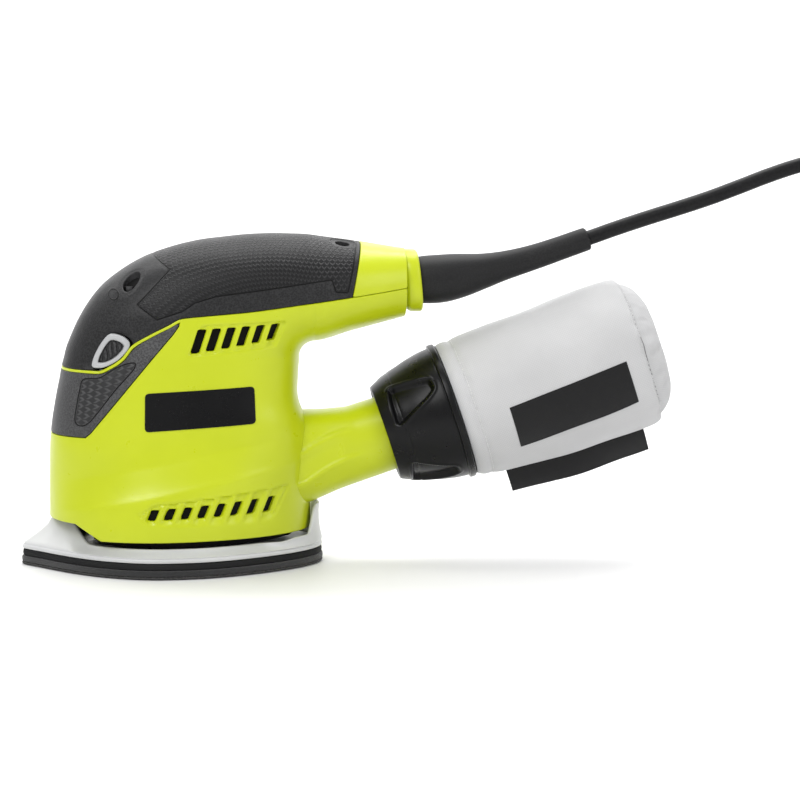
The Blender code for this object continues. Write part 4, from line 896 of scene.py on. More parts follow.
def r_rear(P):
    x = P[:, 0]
    F = side_fields(P)
    return np.minimum(np.minimum(F["part"] - 0.10, -F["rear"] - 0.12), np.where(x > 60, 100.0 - x, 9.0))


def r_bumper(P):
    x, y, z = P[:, 0], P[:, 1], P[:, 2]
    F = side_fields(P)
    g = F["bump"] - 0.14
    return np.minimum(g, np.where(np.abs(y) > 14, -poly_sd(x, z, SWITCH_SMOOTH) - 0.45, 9.0))


V, F_, _ = shell(None, S_TRUNK, NT, r_lower, h_lower, 0.55, 2.6)
make("housing_lower", V, F_, M["green"], "housing", ("main_housing",), sharp=42)
V, F_, _ = shell(None, S_TRUNK[S_TRUNK > 90], NT, r_rear, lambda P: np.zeros(len(P)), 0.5, 2.6)
make("housing_rear_top", V, F_, M["green"], "housing", ("top_cover",), sharp=42)
V, F_, UV_ = shell(None, S_TRUNK[S_TRUNK > 84], NT, r_dark, h_dark, 0.5, 2.6,
                   vertical_holes=(FRONT_HOLE, REAR_HOLE))


def grip_zone(V):
    """Distance into the knurled zone, less its pockets, and distance from the round mark's line."""
    x, y, z = V[:, 0], V[:, 1], V[:, 2]
    d = poly_sd(x, z, GRIP_ZONE)
    pocket = np.hypot(x - REAR_HOLE[0], np.abs(y) - REAR_HOLE[1]) - 5.6
    d = np.where(z > 138, np.minimum(d, pocket), d)
    o = np.hypot(x + 34.3, (z - 126.6) * 0.95)
    return np.stack([np.clip(d, -4, 4), np.where(y < -8, np.minimum(o, 9), 9)], 1)


def bumper_zone(V):
    return np.stack([np.clip(poly_sd(V[:, 0], V[:, 2], INNER_PANEL), -4, 4), np.full(len(V), 9.0)], 1)


make("grip_cover", V, F_, M["grip"], "housing", ("grip_overmold",), sharp=42,
     uv=UV_, zone=grip_zone(V))
V, F_, UV_ = shell(None, S_TRUNK[(S_TRUNK > 50) & (S_TRUNK < 150)], NT, r_bumper, h_bumper, 0.6, 2.4)
make("bumper_skin", V, F_, M["panel"], "housing", ("nose_bumper",), sharp=42,
     uv=UV_, zone=bumper_zone(V))


def on_side(x, z, sgn, h):
    """Point of the housing's side at (x, z) in the side plane, moved out by h."""
    x, z = np.asarray(x, float), np.asarray(z, float)
    fan = z > PZ
    s = np.where(fan, PZ + np.degrees(np.arctan2(z - PZ, PX - x)), z)
    r = np.where(fan, np.hypot(PX - x, z - PZ), PX - x)
    ro, ri, m = outer_r(s), inner_r(s), widest_r(s)
    u = np.where(r > m, (r - m) / (ro - m), (m - r) / (m - ri))
    n = np.where(r > m, power_out(s), power_in(s))
    v = np.clip(1 - np.abs(u) ** n, 0, 1) ** (1 / n)
    shift = 0.20 * (x - 4.0) * (1 - smooth(62, 92, s))
    P = np.stack([x, half_w(s - shift) * v, z], axis=-1)
    t = np.arctan2(P[..., 1] / half_w(s - shift), np.where(r > m, (r - m) / (ro - m), (r - m) / (m - ri)))
    N = normals(s, t)
    P = P + N * np.asarray(h)[..., None]
    P[..., 1] *= sgn
    return P


def strip_path():
    """Round the nose just under the joint, then up along it on either side."""
    x = np.concatenate([np.linspace(-41.8, -9.0, 110), np.linspace(-8.8, -4.4, 16)])
    zc = f_parting(x)
    d = np.stack([np.gradient(x), np.gradient(zc)], 1)
    d /= np.linalg.norm(d, axis=1, keepdims=True)
    return x, zc, np.stack([d[:, 1], -d[:, 0]], 1)


ACROSS = [(1.32, -1.6), (1.30, -0.30), (1.12, -0.06), (0.86, 0.02), (0.40, 0.02), (0.16, -0.06), (0.04, -0.30),
          (0.02, -1.6)]
for nm, sgn in (("right", -1), ("left", 1)):
    x, zc, nrm = strip_path()
    rows = []
    t_n = np.linspace(0, 1, 70)
    for w_, h_ in ACROSS:
        xs, zs = x + nrm[:, 0] * w_, zc + nrm[:, 1] * w_
        P = on_side(xs, zs, sgn, np.full(len(xs), h_))
        P2 = P.copy()
        P2[:, 1] = np.abs(P2[:, 1])
        P += (dimple(P2) * np.ones(len(x)))[:, None] * np.array([0, sgn, 0]) * 0.9
        # round the nose: same height, from the middle plane to where the side run begins
        y_e = abs(P[0, 1])
        sv = zs[0]
        tt = np.linspace(0, math.pi / 2, 400)
        Q = surf(np.full(400, sv), tt) + normals(np.full(400, sv), tt) * h_
        k_ = np.searchsorted(Q[:, 1], y_e)
        Q = Q[:k_]
        run_ = np.linspace(0, len(Q) - 1, 60).astype(int)
        Q = Q[run_].copy()
        Q[:, 1] *= sgn
        rows.append(np.vstack([Q, P]))
    R = np.array(rows).transpose(1, 0, 2)
    V, F_ = ring_mesh(R)
    make("joint_strip_" + nm, V, F_, M["green"], "housing", sharp=50)

# dark sheet inside the housing: painted shade seen through the vents and the joints
A, F_ = grid(np.concatenate([np.arange(23.6, S_END - 2.0, 2.2), [S_END - 1.5]]), 120)
P = surf(A[:, 0], A[:, 1], 3.1)
key = np.round(P * 200).astype(np.int64)
_, idx, inv = np.unique(key, axis=0, return_index=True, return_inverse=True)
F_ = inv.ravel()[F_]
F_ = F_[(F_[:, 0] != F_[:, 1]) & (F_[:, 1] != F_[:, 2]) & (F_[:, 0] != F_[:, 2])]
mid_f = P[idx][F_].mean(axis=1)
F_ = F_[(np.abs(mid_f[:, 1]) < 12) | (poly_sd(mid_f[:, 0], mid_f[:, 2], SWITCH_SMOOTH) < -4.5)]
make("housing_painted_shade_shell", P[idx], F_, M["inside"], "housing", sharp=None)


# --------------------------------------------------- ring behind the handle
lean = math.tan(math.radians(5.5))
prof = [(94.0, 1.2), (99.6, 1.2), (100.4, 0.35), (101.2, 0.0), (105.6, 0.0), (106.35, 0.3),
        (106.8, 1.0), (106.9, 2.2)]
rings = []
th = angles(72)
ex = 2.5
for x, ins in prof:
    hh, ww = 14.4 - ins, 14.3 - ins
    c, q = np.cos(th), np.sin(th)
    rho = (np.abs(c) ** ex + np.abs(q) ** ex) ** (-1 / ex)
    rings.append(np.stack([x - hh * q * rho * lean, ww * c * rho, 130.4 + hh * q * rho], 1))
V, F_ = ring_mesh(rings)
make("tail_ring", V, F_, M["green"], "housing", sharp=40)
# flat end behind the handle's mouldings, in one piece across the joint
rings = []
for k, ins in ((99.55, 0.75), (99.75, 1.0), (99.8, 6.0)):
    rings.append(surf(np.full(96, at_x(k)), np.linspace(-math.pi, math.pi, 97)[:-1], ins))
V, F_ = ring_mesh(rings, cap0=False)
make("tail_face", V, F_, M["green"], "housing", sharp=40)

# --------------------------------------------------------------- dust port
TILT = math.radians(18.2)
AX = np.array([math.cos(TILT), 0, math.sin(TILT)])
UP = np.array([-math.sin(TILT), 0, math.cos(TILT)])
RT = np.array([0.0, 1.0, 0.0])
ROOT = np.array([40.45, 0.0, 42.3])


def on_axis(d, y, h):
    d, y, h = np.broadcast_arrays(np.asarray(d, float), y, h)
    return ROOT + d[..., None] * AX + y[..., None] * RT + h[..., None] * UP


n_t = 144
ds = np.concatenate([np.linspace(2, 36, 52), np.linspace(37, 74.6, 30), [75.4, 75.8, 76.0]])
th = angles(n_t)
rings = []
for d in ds:
    flare = (1 - smooth(7.0, 33.0, d)) ** 1.4
    web = np.clip((40.0 - d) / 28.0, 0, 1.3)
    ry = 17.5 + 2.6 * flare
    ru = 17.5 + 8.6 * (web - 0.10 * math.sin(min(web, 1.0) * math.pi))
    rd = 17.5 + 1.4 * flare
    e = 2.0 + 0.5 * (1 - smooth(30, 66, d))
    c, q = np.cos(th), np.sin(th)
    rho = (np.abs(c) ** e + np.abs(q) ** e) ** (-1 / e)
    k = 1.0 if d < 75 else (0.985 if d < 75.6 else (0.965 if d < 75.9 else 0.93))
    y = ry * c * rho * k
    h = np.where(q > 0, ru, rd) * q * rho * k
    # two creased ribs on each side
    for (d0, h0, d1, h1) in ((13.0, 6.6, 43.0, 8.5), (10.2, -6.9, 43.0, -3.6)):
        kk = np.clip((d - d0) / (d1 - d0), 0, 1.0)
        hc = h0 + (h1 - h0) * kk + 2.0 * math.sin(math.pi * kk)
        amp = 1.25 * (1 - smooth(0.45, 1.02, (d - d0) / (d1 - d0)))
        s = h - hc
        ridge = np.where(s > 0, np.exp(-(s / 0.8) ** 2), np.exp(-(s / 3.4) ** 2))
        y = y + np.sign(y) * amp * ridge * smooth(7.0, 12.0, np.abs(y))
    rings.append(on_axis(d, y, h))
inner = [on_axis(d, 14.6 * np.cos(th), 14.6 * np.sin(th)) for d in (76.0, 75.4, 60.0)]
V, F_ = ring_mesh(rings + inner, cap0=False, cap1=False)
make("dust_port", V, F_, M["green"], "housing", sharp=50)

# -------------------------------------------------------------- bag's collar
C0 = 53.0
prof = [(18.3, 1.5), (20.9, 0.4), (21.7, 0.0), (22.3, 0.15), (22.8, 0.8), (24.4, 4.2), (25.6, 7.6), (25.9, 8.6),
        (26.0, 9.2), (26.45, 10.0), (27.4, 13.0), (28.9, 18.0), (30.1, 23.0), (30.75, 27.0), (31.05, 30.2),
        (31.05, 31.0), (32.1, 31.25), (32.45, 31.7), (32.45, 33.6), (32.1, 34.2), (31.3, 34.5), (29.0, 34.6)]
pr = np.array(prof)
fine, _ = resample(pr, 230)
n_t = 480
th = angles(n_t)
rings = []


def recess(d, arc, width):
    """Thumb recess of the collar: a rounded trapezoid, wide at the bag's end."""
    poly = rounded([(6.9, 11.0), (26.4, 6.0), (27.3, 0.2), (23.0, -3.0), (7.2, -9.6), (4.6, -7.4)], 2.0, 6)
    return poly_sd(d, arc, poly)


for r, d in fine:
    rad = np.full(n_t, r)
    if 4.5 < d < 30.5:
        for c0 in (math.radians(148), math.radians(58), math.radians(-32), math.radians(-122)):
            da = (th - c0 + math.pi) % (2 * math.pi) - math.pi
            sd = recess(np.full(n_t, d), -da * r, 9)
            rad = rad - 2.7 * smooth(-0.3, 1.5, sd) * smooth(4.6, 7.5, d) + 0.30 * np.exp(-((sd + 0.9) / 0.7) ** 2)
    rings.append(on_axis(C0 + d, rad * np.cos(th), rad * np.sin(th)))
back = [on_axis(C0 + d, r * np.cos(th), r * np.sin(th)) for r, d in
        ((28.6, 34.4), (28.0, 28.0), (18.2, 24.0), (17.9, 12.0), (17.9, 2.2), (18.0, 1.8))]
V, F_ = ring_mesh(rings + back, cap0=False, cap1=False)
m_ = len(rings + back)
last, n_ = (m_ - 1) * n_t, n_t
F_ += [[last + k, last + (k + 1) % n_, (k + 1) % n_, k] for k in range(n_)]
make("collar_body", V, F_, M["collar"], "dust_bag_unit", ("bag_collar",), sharp=40)

# --------------------------------------------------------------- side badges
def patch(name, poly, sgn, base, top, mats, border=None, step=0.6, stands=()):
    """Thin label that follows the housing's side."""
    q = np.asarray(poly)
    x0, x1, z0, z1 = q[:, 0].min(), q[:, 0].max(), q[:, 1].min(), q[:, 1].max()
    c = np.array([(x0 + x1) / 2, (z0 + z1) / 2])
    levels = np.array([1.0, 0.988, 0.975, 0.955, 0.93, 0.90, 0.8, 0.6, 0.4, 0.2])
    out = even(np.vstack([q, q[:1]]), 361)[:-1]
    rows = []
    for k, lv in enumerate(levels):
        ins = (1 - lv)
        sx = 1 - ins * (z1 - z0) / (x1 - x0)
        pts = (out - c) * np.array([sx if lv > 0.85 else lv + (1 - lv) * 0.0 + (sx - lv) * 0.0, lv]) + c
        if lv <= 0.85:
            pts = (out - c) * np.array([lv, lv]) + c
        rows.append(pts)
    V, H = [], [base - 0.6, top - 0.12, top, top, top, top, top, top, top, top]
    for pts, h in zip(rows, H):
        V.append(project(pts[:, 0], pts[:, 1], sgn, h))
    V2, F2 = ring_mesh(V, cap0=False)
    fm = None
    if border:
        fm = np.zeros(len(F2), int)
    ob = make(name, V2, F2, mats[0], "housing", stands, sharp=50, mats=mats, fmat=fm)
    return ob


def project(x, z, sgn, h):
    """Point of the trunk's side at (x, z), moved out by h."""
    x, z = np.asarray(x, float), np.asarray(z, float)
    s = z
    r = PX - x
    ro, ri, m = outer_r(s), inner_r(s), widest_r(s)
    u = np.where(r > m, (r - m) / (ro - m), (m - r) / (m - ri))
    n = np.where(r > m, power_out(s), power_in(s))
    v = np.clip(1 - np.abs(u) ** n, 0, 1) ** (1 / n)
    shift = 0.20 * (x - 4.0) * (1 - smooth(62, 92, s))
    y = half_w(s - shift) * v
    return np.stack([x, sgn * (y + h), z], axis=-1)


for nm, sgn in (("right", -1), ("left", 1)):
    patch("badge_plate_" + nm, BADGE, sgn, 0.0, 0.42, [M["badge"]],
          stands=("side_badge_" + nm,))

# ------------------------------------------------------------- switch slider
sw_out = np.array(rounded(SWITCH_OUT, 3.0, 8))
sw_c = np.array([-35.6, 101.0])


def inset_poly(q, d):
    """Outline moved inwards by d along its own normals."""
    a, b = np.roll(q, 1, axis=0), np.roll(q, -1, axis=0)
    t = b - a
    t /= np.linalg.norm(t, axis=1, keepdims=True) + 1e-9
    n = np.stack([-t[:, 1], t[:, 0]], 1)
    area = 0.5 * np.sum(q[:, 0] * np.roll(q[:, 1], -1) - np.roll(q[:, 0], -1) * q[:, 1])
    return q + n * d * (1 if area > 0 else -1)


q0 = even(np.vstack([sw_out, sw_out[:1]]), 241)[:-1]
for _ in range(6):
    q0 = (np.roll(q0, 1, axis=0) + 2 * q0 + np.roll(q0, -1, axis=0)) / 4


def sw_ring(ins, y, sgn):
    q = inset_poly(q0, ins) if ins < 1.4 else sw_c + (inset_poly(q0, 1.2) - sw_c) * (1 - (ins - 1.2) / 7.4)
    return np.stack([q[:, 0], np.full(len(q), sgn * y), q[:, 1]], 1)


def face_tilt(R, sgn, k=0.16):
    """The knob's face leans with the housing's side."""
    R = R.copy()
    R[:, 1] += sgn * (0.20 * (R[:, 0] + 36.0) - 0.05 * (R[:, 2] - 101.0)) * 1.0
    return R


for nm, sgn, y_face in (("right", -1, 30.4), ("left", 1, 32.8)):
    rows = [sw_ring(0.25, y_face - (9.0 if sgn < 0 else 6.5), sgn), face_tilt(sw_ring(0.22, y_face - 2.2, sgn), sgn),
            face_tilt(sw_ring(0.22, y_face - 0.9, sgn), sgn), face_tilt(sw_ring(0.3, y_face - 0.45, sgn), sgn),
            face_tilt(sw_ring(0.5, y_face - 0.12, sgn), sgn), face_tilt(sw_ring(0.8, y_face, sgn), sgn),
            face_tilt(sw_ring(1.3, y_face, sgn), sgn), face_tilt(sw_ring(2.2, y_face - 0.05, sgn), sgn),
            face_tilt(sw_ring(2.75, y_face - 0.3, sgn), sgn), face_tilt(sw_ring(3.0, y_face - 0.9, sgn), sgn),
            face_tilt(sw_ring(3.05, y_face - 2.9, sgn), sgn)]
    V, F_ = ring_mesh(rows)
    make("switch_rim_" + nm, V, F_, M["grey"], "switch", ("switch_slider",) if sgn < 0 else (),
         sharp=45)
    # ribbed insert, dished, with upright ribs
    nx, nz = 110, 90
    gx, gz = np.meshgrid(np.linspace(-45, -26.5, nx), np.linspace(93.5, 110, nz), indexing="ij")
    q_in = sw_ring(2.92, 0, 1)[:, [0, 2]]
    sd = poly_sd(gx.ravel(), gz.ravel(), q_in).reshape(gx.shape)
    ph = (gx + 0.10 * (gz - 100) + 45.0) / 2.3
    rib = np.abs(((ph) % 1.0) - 0.5) * 2
    hgt = -1.7 + 1.15 * smooth(0.25, 0.60, rib) * smooth(0.3, 1.3, sd) - 0.4 * smooth(0.0, 4.5, sd)
    yy = (y_face - 0.2) + hgt
    Pg = np.stack([gx.ravel(), (sgn * yy).ravel(), gz.ravel()], 1)
    Pg = face_tilt(Pg, sgn)
    i, j = np.meshgrid(np.arange(nx - 1), np.arange(nz - 1), indexing="ij")
    a = (i * nz + j).ravel()
    tri = np.concatenate([np.stack([a, a + 1, a + nz + 1], 1), np.stack([a, a + nz + 1, a + nz], 1)])
    A2 = np.concatenate([Pg, sd.reshape(-1, 1)], 1)
    A2, tri, g2 = split(A2, tri, sd.ravel(), -0.25)
    tri = tri[g2[tri].mean(axis=1) > -0.25]
    A2, tri, _ = compact(A2, tri)
    make("switch_insert_" + nm, A2[:, :3], tri.tolist() if sgn < 0 else tri[:, ::-1].tolist(), M["bumper"], "switch",
         ("switch_grip_" + nm,), sharp=50)
V, F_ = ring_mesh([sw_ring(0.9, -9, 1), sw_ring(0.9, 9, 1)])
make("switch_bar", V, F_, M["grey"], "switch", sharp=45)

# --------------------------------------------------------- platen and pads
PAD_HALF = [(-78.5, 0.0), (-77.9, 2.4), (-75.2, 6.0), (-69.7, 12.0), (-60.2, 22.9), (-50.8, 32.2), (-41.7, 39.2),
            (-32.6, 44.2), (-23.6, 47.6), (-12.4, 49.2), (3.3, 47.8), (14.6, 44.4), (26.1, 39.2),
            (37.7, 32.4), (49.5, 23.2), (57.0, 14.2), (60.5, 6.6), (61.5, 0.0)]
mir = [(x, -y) for x, y in PAD_HALF] + [(x, y) for x, y in PAD_HALF[1:-1][::-1]]
loop = mir + [mir[0]]
ctl = np.array(mir[-3:] + loop + mir[1:4], float)
fine_l, _ = resample(ctl, 3000)
i0 = np.argmin(np.linalg.norm(fine_l[:700] - ctl[3], axis=1))
i1 = 2300 + np.argmin(np.linalg.norm(fine_l[2300:] - ctl[3], axis=1))
loop_f, _ = resample(fine_l[i0:i1 + 1], 289)
PAD = loop_f[:-1]
tn = np.roll(PAD, -1, axis=0) - np.roll(PAD, 1, axis=0)
tn /= np.linalg.norm(tn, axis=1, keepdims=True)
PN = np.stack([-tn[:, 1], tn[:, 0]], 1)
if (PN[72] * -PAD[72]).sum() < 0:
    PN = -PN


def pad_ring(ins, z):
    ins = np.broadcast_to(np.asarray(ins, float), (len(PAD),))
    q = PAD + PN * ins[:, None]
    q[:, 1] = np.where(np.sign(q[:, 1]) * np.sign(PAD[:, 1]) < 0, 0, q[:, 1])
    xt = -78.5 + 1.3 * ins
    q[:, 0] = np.maximum(q[:, 0], np.where(np.abs(PAD[:, 1]) < 8, xt, -99))
    return np.column_stack([q, np.broadcast_to(np.asarray(z, float), (len(PAD),))])


def pad_core(z):
    return np.column_stack([PAD[:, 0] * 0.5 - 4.0, PAD[:, 1] * 0.5, np.full(len(PAD), z)])


def rim_top(x):
    z = 12.8 + 9.2 * smooth(0, 1, (-50.5 - x) / 15.0)
    z = z + 1.2 * smooth(0, 1, (x - 41.5) / 10.0)
    return z + 13.2 * smooth(0, 1, (x - 55.4) / 4.4)


def rim_in(x):
    return 5.4 + 7.0 * smooth(0, 1, (-45.0 - x) / 25.0) - 3.9 * smooth(0, 1, (x - 33.0) / 10.0)


PLZ = 7.2
xt = PAD[:, 0]
top, rin = rim_top(xt), rim_in(xt)


def mixed(k, ins=0.0, dz=0.0):
    """k = 0 at the pad's edge, k = 1 at the rim's top; the wall bows in a little."""
    bow = 0.9 * math.sin(math.pi * k)
    return pad_ring(k * rin + ins + bow, (PLZ + 2.0) * (1 - k) + k * top + dz)


rings = [pad_core(PLZ), pad_ring(0.9, PLZ), pad_ring(0.5, PLZ + 0.1), pad_ring(0.3, PLZ + 0.45),
         pad_ring(0.3, PLZ + 1.3), pad_ring(0.45, PLZ + 1.65), pad_ring(0.8, PLZ + 1.85), mixed(0.04, 0.35)]
rings += [mixed(k) for k in np.linspace(0.08, 0.94, 14)]
rings += [mixed(0.985, 0.05), mixed(1.0, 0.25), mixed(1.0, 0.7, 0.05), mixed(1.0, 1.1), mixed(0.97, 1.45, -0.2)]
rings += [mixed(0.6, 2.0), mixed(0.3, 2.4), pad_ring(rin * 0.2 + 3.0, PLZ + 3.4), pad_core(PLZ + 3.4)]
V, F_ = ring_mesh(rings)
platen = make("platen_tray", V, F_, M["platen"], "pad", ("platen",), sharp=40)


def edge_stack(ins, z0, z1, r=0.5, bulge=0.0):
    a = np.linspace(0, math.pi / 2, 5)
    rows = [pad_core(z0)]
    rows += [pad_ring(ins + r - r * math.sin(t), z0 + r - r * math.cos(t)) for t in a]
    rows += [pad_ring(ins - bulge, (z0 + z1) / 2)]
    rows += [pad_ring(ins + r - r * math.cos(t), z1 - r + r * math.sin(t)) for t in a]
    rows += [pad_core(z1)]
    return rows


V, F_ = ring_mesh(edge_stack(0.6, 3.9, 6.95, 0.6, 0.12))
lip = make("backing_lip", V, F_, M["pad"], "pad", ("backing_pad",), sharp=50)
V, F_ = ring_mesh(edge_stack(0.15, 1.15, 3.75, 0.45, 0.15))
foam = make("foam_layer", V, F_, M["foam"], "pad", ("hook_foam_pad",), sharp=50)
V, F_ = ring_mesh(edge_stack(-0.02 + 0.15, 0.0, 1.0, 0.3, 0.05))
# sheet's cut edge is slightly ragged
jit = 0.10 * np.sin(V[:, 0] * 3.1 + V[:, 1] * 2.3) * np.sin(V[:, 0] * 1.7 - V[:, 1] * 2.9)
rad = np.hypot(V[:, 0], V[:, 1])
V[:, 0] += np.where(rad > 40, jit * 0.5, 0)
V[:, 1] += np.where(rad > 40, jit * 0.5, 0)
sheet = make("abrasive_sheet", V, F_, M["abrasive"], "pad", ("sanding_sheet",), sharp=50)

DUST_HOLES = [(-46, 0), (-26, 27), (-26, -27), (24, 24), (24, -24), (42, 0)]
bm = bmesh.new()
for hx, hy in DUST_HOLES:
    r_ = bmesh.ops.create_cone(bm, cap_ends=True, segments=32, radius1=0.0036, radius2=0.0036, depth=0.03)
    bmesh.ops.translate(bm, vec=(hx * MM, hy * MM, 0.006), verts=r_["verts"])
me = bpy.data.meshes.new("drills")
bm.to_mesh(me)
bm.free()
drills = bpy.data.objects.new("drills", me)
coll.objects.link(drills)
for ob in (lip, foam, sheet):
    md = ob.modifiers.new("holes", "BOOLEAN")
    md.operation = "DIFFERENCE"
    md.object = drills
    md.solver = "EXACT"
    bpy.context.view_layer.update()
    dg = bpy.context.evaluated_depsgraph_get()
    new = bpy.data.meshes.new_from_object(ob.evaluated_get(dg))
    ob.modifiers.clear()
    ob.data = new
bpy.data.objects.remove(drills, do_unlink=True)
# near-black tubes and discs at the top of the pad's dust holes: painted shade in the holes
VL, FL = [], []
k32 = angles(32)
for hx, hy in DUST_HOLES:
    v, f = ring_mesh([np.column_stack([hx + r_ * np.cos(k32), hy + r_ * np.sin(k32), np.full(32, z_)])
                      for r_, z_ in ((3.62, 6.6), (3.62, 7.1), (3.3, 7.12), (1.0, 7.12))], cap0=False)
    o = sum(len(q_) for q_ in VL)
    VL.append(v)
    FL += [[int(q_) + o for q_ in ff] for ff in f]
make("dust_hole_painted_shade", np.vstack(VL), FL, M["inside"], "pad", sharp=None)

# ------------------------------------------------------------ strain relief
SR = [(96.8, 130.2), (101, 130.2), (106.8, 130.5), (116.6, 131), (126, 132.4), (135.5, 134.2), (145, 136.5),
      (154.5, 139), (163.8, 141.8), (173, 144.9), (182.5, 148.2), (186, 149.4)]
SRR = [8, 8.2, 10.8, 11.2, 10.3, 8.5, 7.0, 6.2, 5.8, 5.6, 5.5, 5.4]
pts = np.array([(x, 0, z, r) for (x, z), r in zip(SR, SRR)])
fine, ln = resample(pts, 130)
t, a, b = frames(fine[:, :3])
th = angles(64)
rings = []
for k in range(len(fine)):
    u = k / (len(fine) - 1)
    r = fine[k, 3]
    rest = (1 - u) * ln
    if rest < 0.9:
        r -= 0.9 - math.sqrt(max(0.81 - (0.9 - rest) ** 2, 0))
    rings.append(fine[k, :3] + r * np.cos(th)[:, None] * a[k] + r * np.sin(th)[:, None] * b[k])
end = fine[-1, :3]
rings += [end + rr * np.cos(th)[:, None] * a[-1] + rr * np.sin(th)[:, None] * b[-1] - t[-1] * dd for rr, dd in
          ((4.2, 0.0), (3.9, 0.25), (3.75, 1.5))]
V, F_ = ring_mesh(rings)
make("relief_sleeve", V, F_, M["relief"], "housing", ("strain_relief",), sharp=40)

# --------------------------------------------------------------------- lead
FLOOR_Z, CR = 0.4, 3.5
dirn = np.array([186 - 182.5, 0, 149.4 - 148.2])
dirn /= np.linalg.norm(dirn)
START = np.array([186, 0, 149.4]) + 0.3 * dirn
ROUTE = [tuple(START), (201.0, 0, 154.6), (219.8, 0, 160.6), (238.7, 0, 166.4), (257.5, 0, 173.2),
         (276, 0, 180.0), (296, 0, 185.5), (318, 0, 187.5), (340, 0, 184.0), (360, 0, 174.0),
         (376, 0.5, 158.0), (387, 1.5, 137.0), (393, 3.0, 113.0), (396.5, 3.0, 88.0),
         (398.0, 1.0, 64.0), (398.0, -6.0, 42.0), (396.0, -18.0, 24.0), (390.0, -32.0, 13.0),
         (380.0, -44.5, 6.5), (365.0, -51.5, 3.9), (350.0, -54.0, 3.9), (334.0, -51.8, 3.9)]
TAIL = [(324.0, 45.1, 3.9), (334.5, 50.0, 3.9), (351.0, 55.4, 5.4), (366.0, 60.0, 8.9), (378.0, 66.0, 10.5)]
CX, CY = 347.0, 0.0
A0 = math.atan2(-51.8, -13.0)
A1 = math.atan2(49.0, -25.0) - 2 * math.pi
TURNS = 5 + (A0 - A1) / (2 * math.pi)


def coil_point(tau, mid):
    """tau counts turns, clockwise from above; columns lie a diameter apart."""
    r_out, r_in = mid + 3.62, mid - 3.62
    zs = (3.9, 10.75, 17.0)
    plan = [(r_out, zs[0]), (r_in, zs[0]), (r_in, zs[1]), (r_out, zs[1]), (r_out, zs[2]), (r_out, zs[2])]
    k = int(min(tau, TURNS - 1e-6))
    f = tau - k
    r, z = plan[k]
    if k + 1 < len(plan) - 1 and k < 4:
        r2, z2 = plan[k + 1]
        w = float(smooth(0.74, 1.0, f))
        r, z = r + (r2 - r) * w, z + (z2 - z) * w
    if k == 0:
        r = r + (53.4 - r) * float(1 - smooth(0.0, 0.26, f))
    if tau > 4.86:
        w = (tau - 4.86) / (TURNS - 4.86)
        r = (mid + 3.62) + (50.6 - mid - 3.62) * float(smooth(0.0, 0.62, w))
        z = 17.0 + (3.9 - 17.0) * float(smooth(0.34, 1.0, w))
    a = A0 - 2 * math.pi * tau
    return (CX + r * math.cos(a), CY + r * math.sin(a), z)


def cord_points(mid):
    p1, l1 = resample(ROUTE, 30)
    n = int(TURNS * 18)
    p2 = np.array([coil_point(TURNS * k / n, mid) for k in range(1, n)])
    p3, l3 = resample(TAIL, 6)
    return np.vstack([p1, p2, p3])


def length_of(pts):
    return resample(pts, 4000)[1]


lo_, hi_ = 33.0, 44.5
for _ in range(30):
    mid_ = (lo_ + hi_) / 2
    if length_of(cord_points(mid_)) < 1800.0:
        lo_ = mid_
    else:
        hi_ = mid_
CP = cord_points(mid_)
print("cord: mean radius", round(mid_, 2), "length", round(length_of(CP), 1), "points", len(CP))
cu = bpy.data.curves.new("power_lead", "CURVE")
cu.dimensions = "3D"
cu.bevel_depth = CR * MM
cu.bevel_resolution = 7
cu.resolution_u = 10
cu.use_fill_caps = True
sp = cu.splines.new("BEZIER")
sp.bezier_points.add(len(CP) - 1)
for k, (q, p) in enumerate(zip(sp.bezier_points, CP)):
    # handles along the chord between the neighbours keep the curve even
    a, b = CP[max(k - 1, 0)], CP[min(k + 1, len(CP) - 1)]
    tdir = (b - a) / (np.linalg.norm(b - a) + 1e-9)
    if k == 0:
        tdir = dirn
    la = np.linalg.norm(p - a) / 3 if k else 1.0
    lb = np.linalg.norm(b - p) / 3 if k < len(CP) - 1 else 1.0
    q.co = Vector(p * MM)
    q.handle_left_type = q.handle_right_type = "FREE"
    q.handle_left = Vector((p - tdir * la) * MM)
    q.handle_right = Vector((p + tdir * lb) * MM)
cu.materials.append(M["cord"])
lead = bpy.data.objects.new("power_lead", cu)
coll.objects.link(lead)
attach(lead, "housing")
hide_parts("cord_tube", "cord_coil", "cord_tail")

# moulded plug with ribbed grip
pd = np.array([12.0, 6.0, 0.0])
pd /= np.linalg.norm(pd)
pu = np.array([0.0, 0.0, 1.0])
ps = np.cross(pd, pu)
PO = np.array([378.0, 66.0, 10.5]) + 0.8 * pd
PLUG = [(0.0, 4.9, 4.9), (0.4, 5.2, 5.2), (9.0, 5.7, 5.7), (10.4, 6.4, 5.9), (13.4, 9.2, 6.8), (16.0, 11.6, 7.8),
        (20.0, 13.0, 8.8), (27.0, 12.5, 8.9), (33.2, 13.0, 9.5), (35.4, 13.0, 9.55), (36.6, 12.6, 9.3), (37.0, 12.0, 8.7)]
fine, _ = resample(np.array(PLUG), 150)
th = angles(96)
rings = []
for d, w_, h_ in fine:
    k = 0.0
    if 1.5 < d < 9.5:
        k = 0.45 * (0.5 - 0.5 * math.cos(2 * math.pi * (d - 1.5) / 2.0))
    e = 2.0 + 1.6 * float(smooth(10, 20, d))
    c, q = np.cos(th), np.sin(th)
    rho = (np.abs(c) ** e + np.abs(q) ** e) ** (-1 / e)
    g_ = 0.0
    if 20.5 < d < 32.5:
        g_ = 0.5 * (0.5 - 0.5 * math.cos(2 * math.pi * (d - 20.5) / 2.4)) * smooth(0.75, 0.95, np.abs(c))
    rings.append(PO + d * pd + ((w_ - k - g_) * rho * c)[:, None] * ps + ((h_ - k) * rho * q)[:, None] * pu)
V, F_ = ring_mesh(rings)
plug = make("plug_moulding", V, F_, M["cord"], "housing", ("plug_body",), sharp=40)

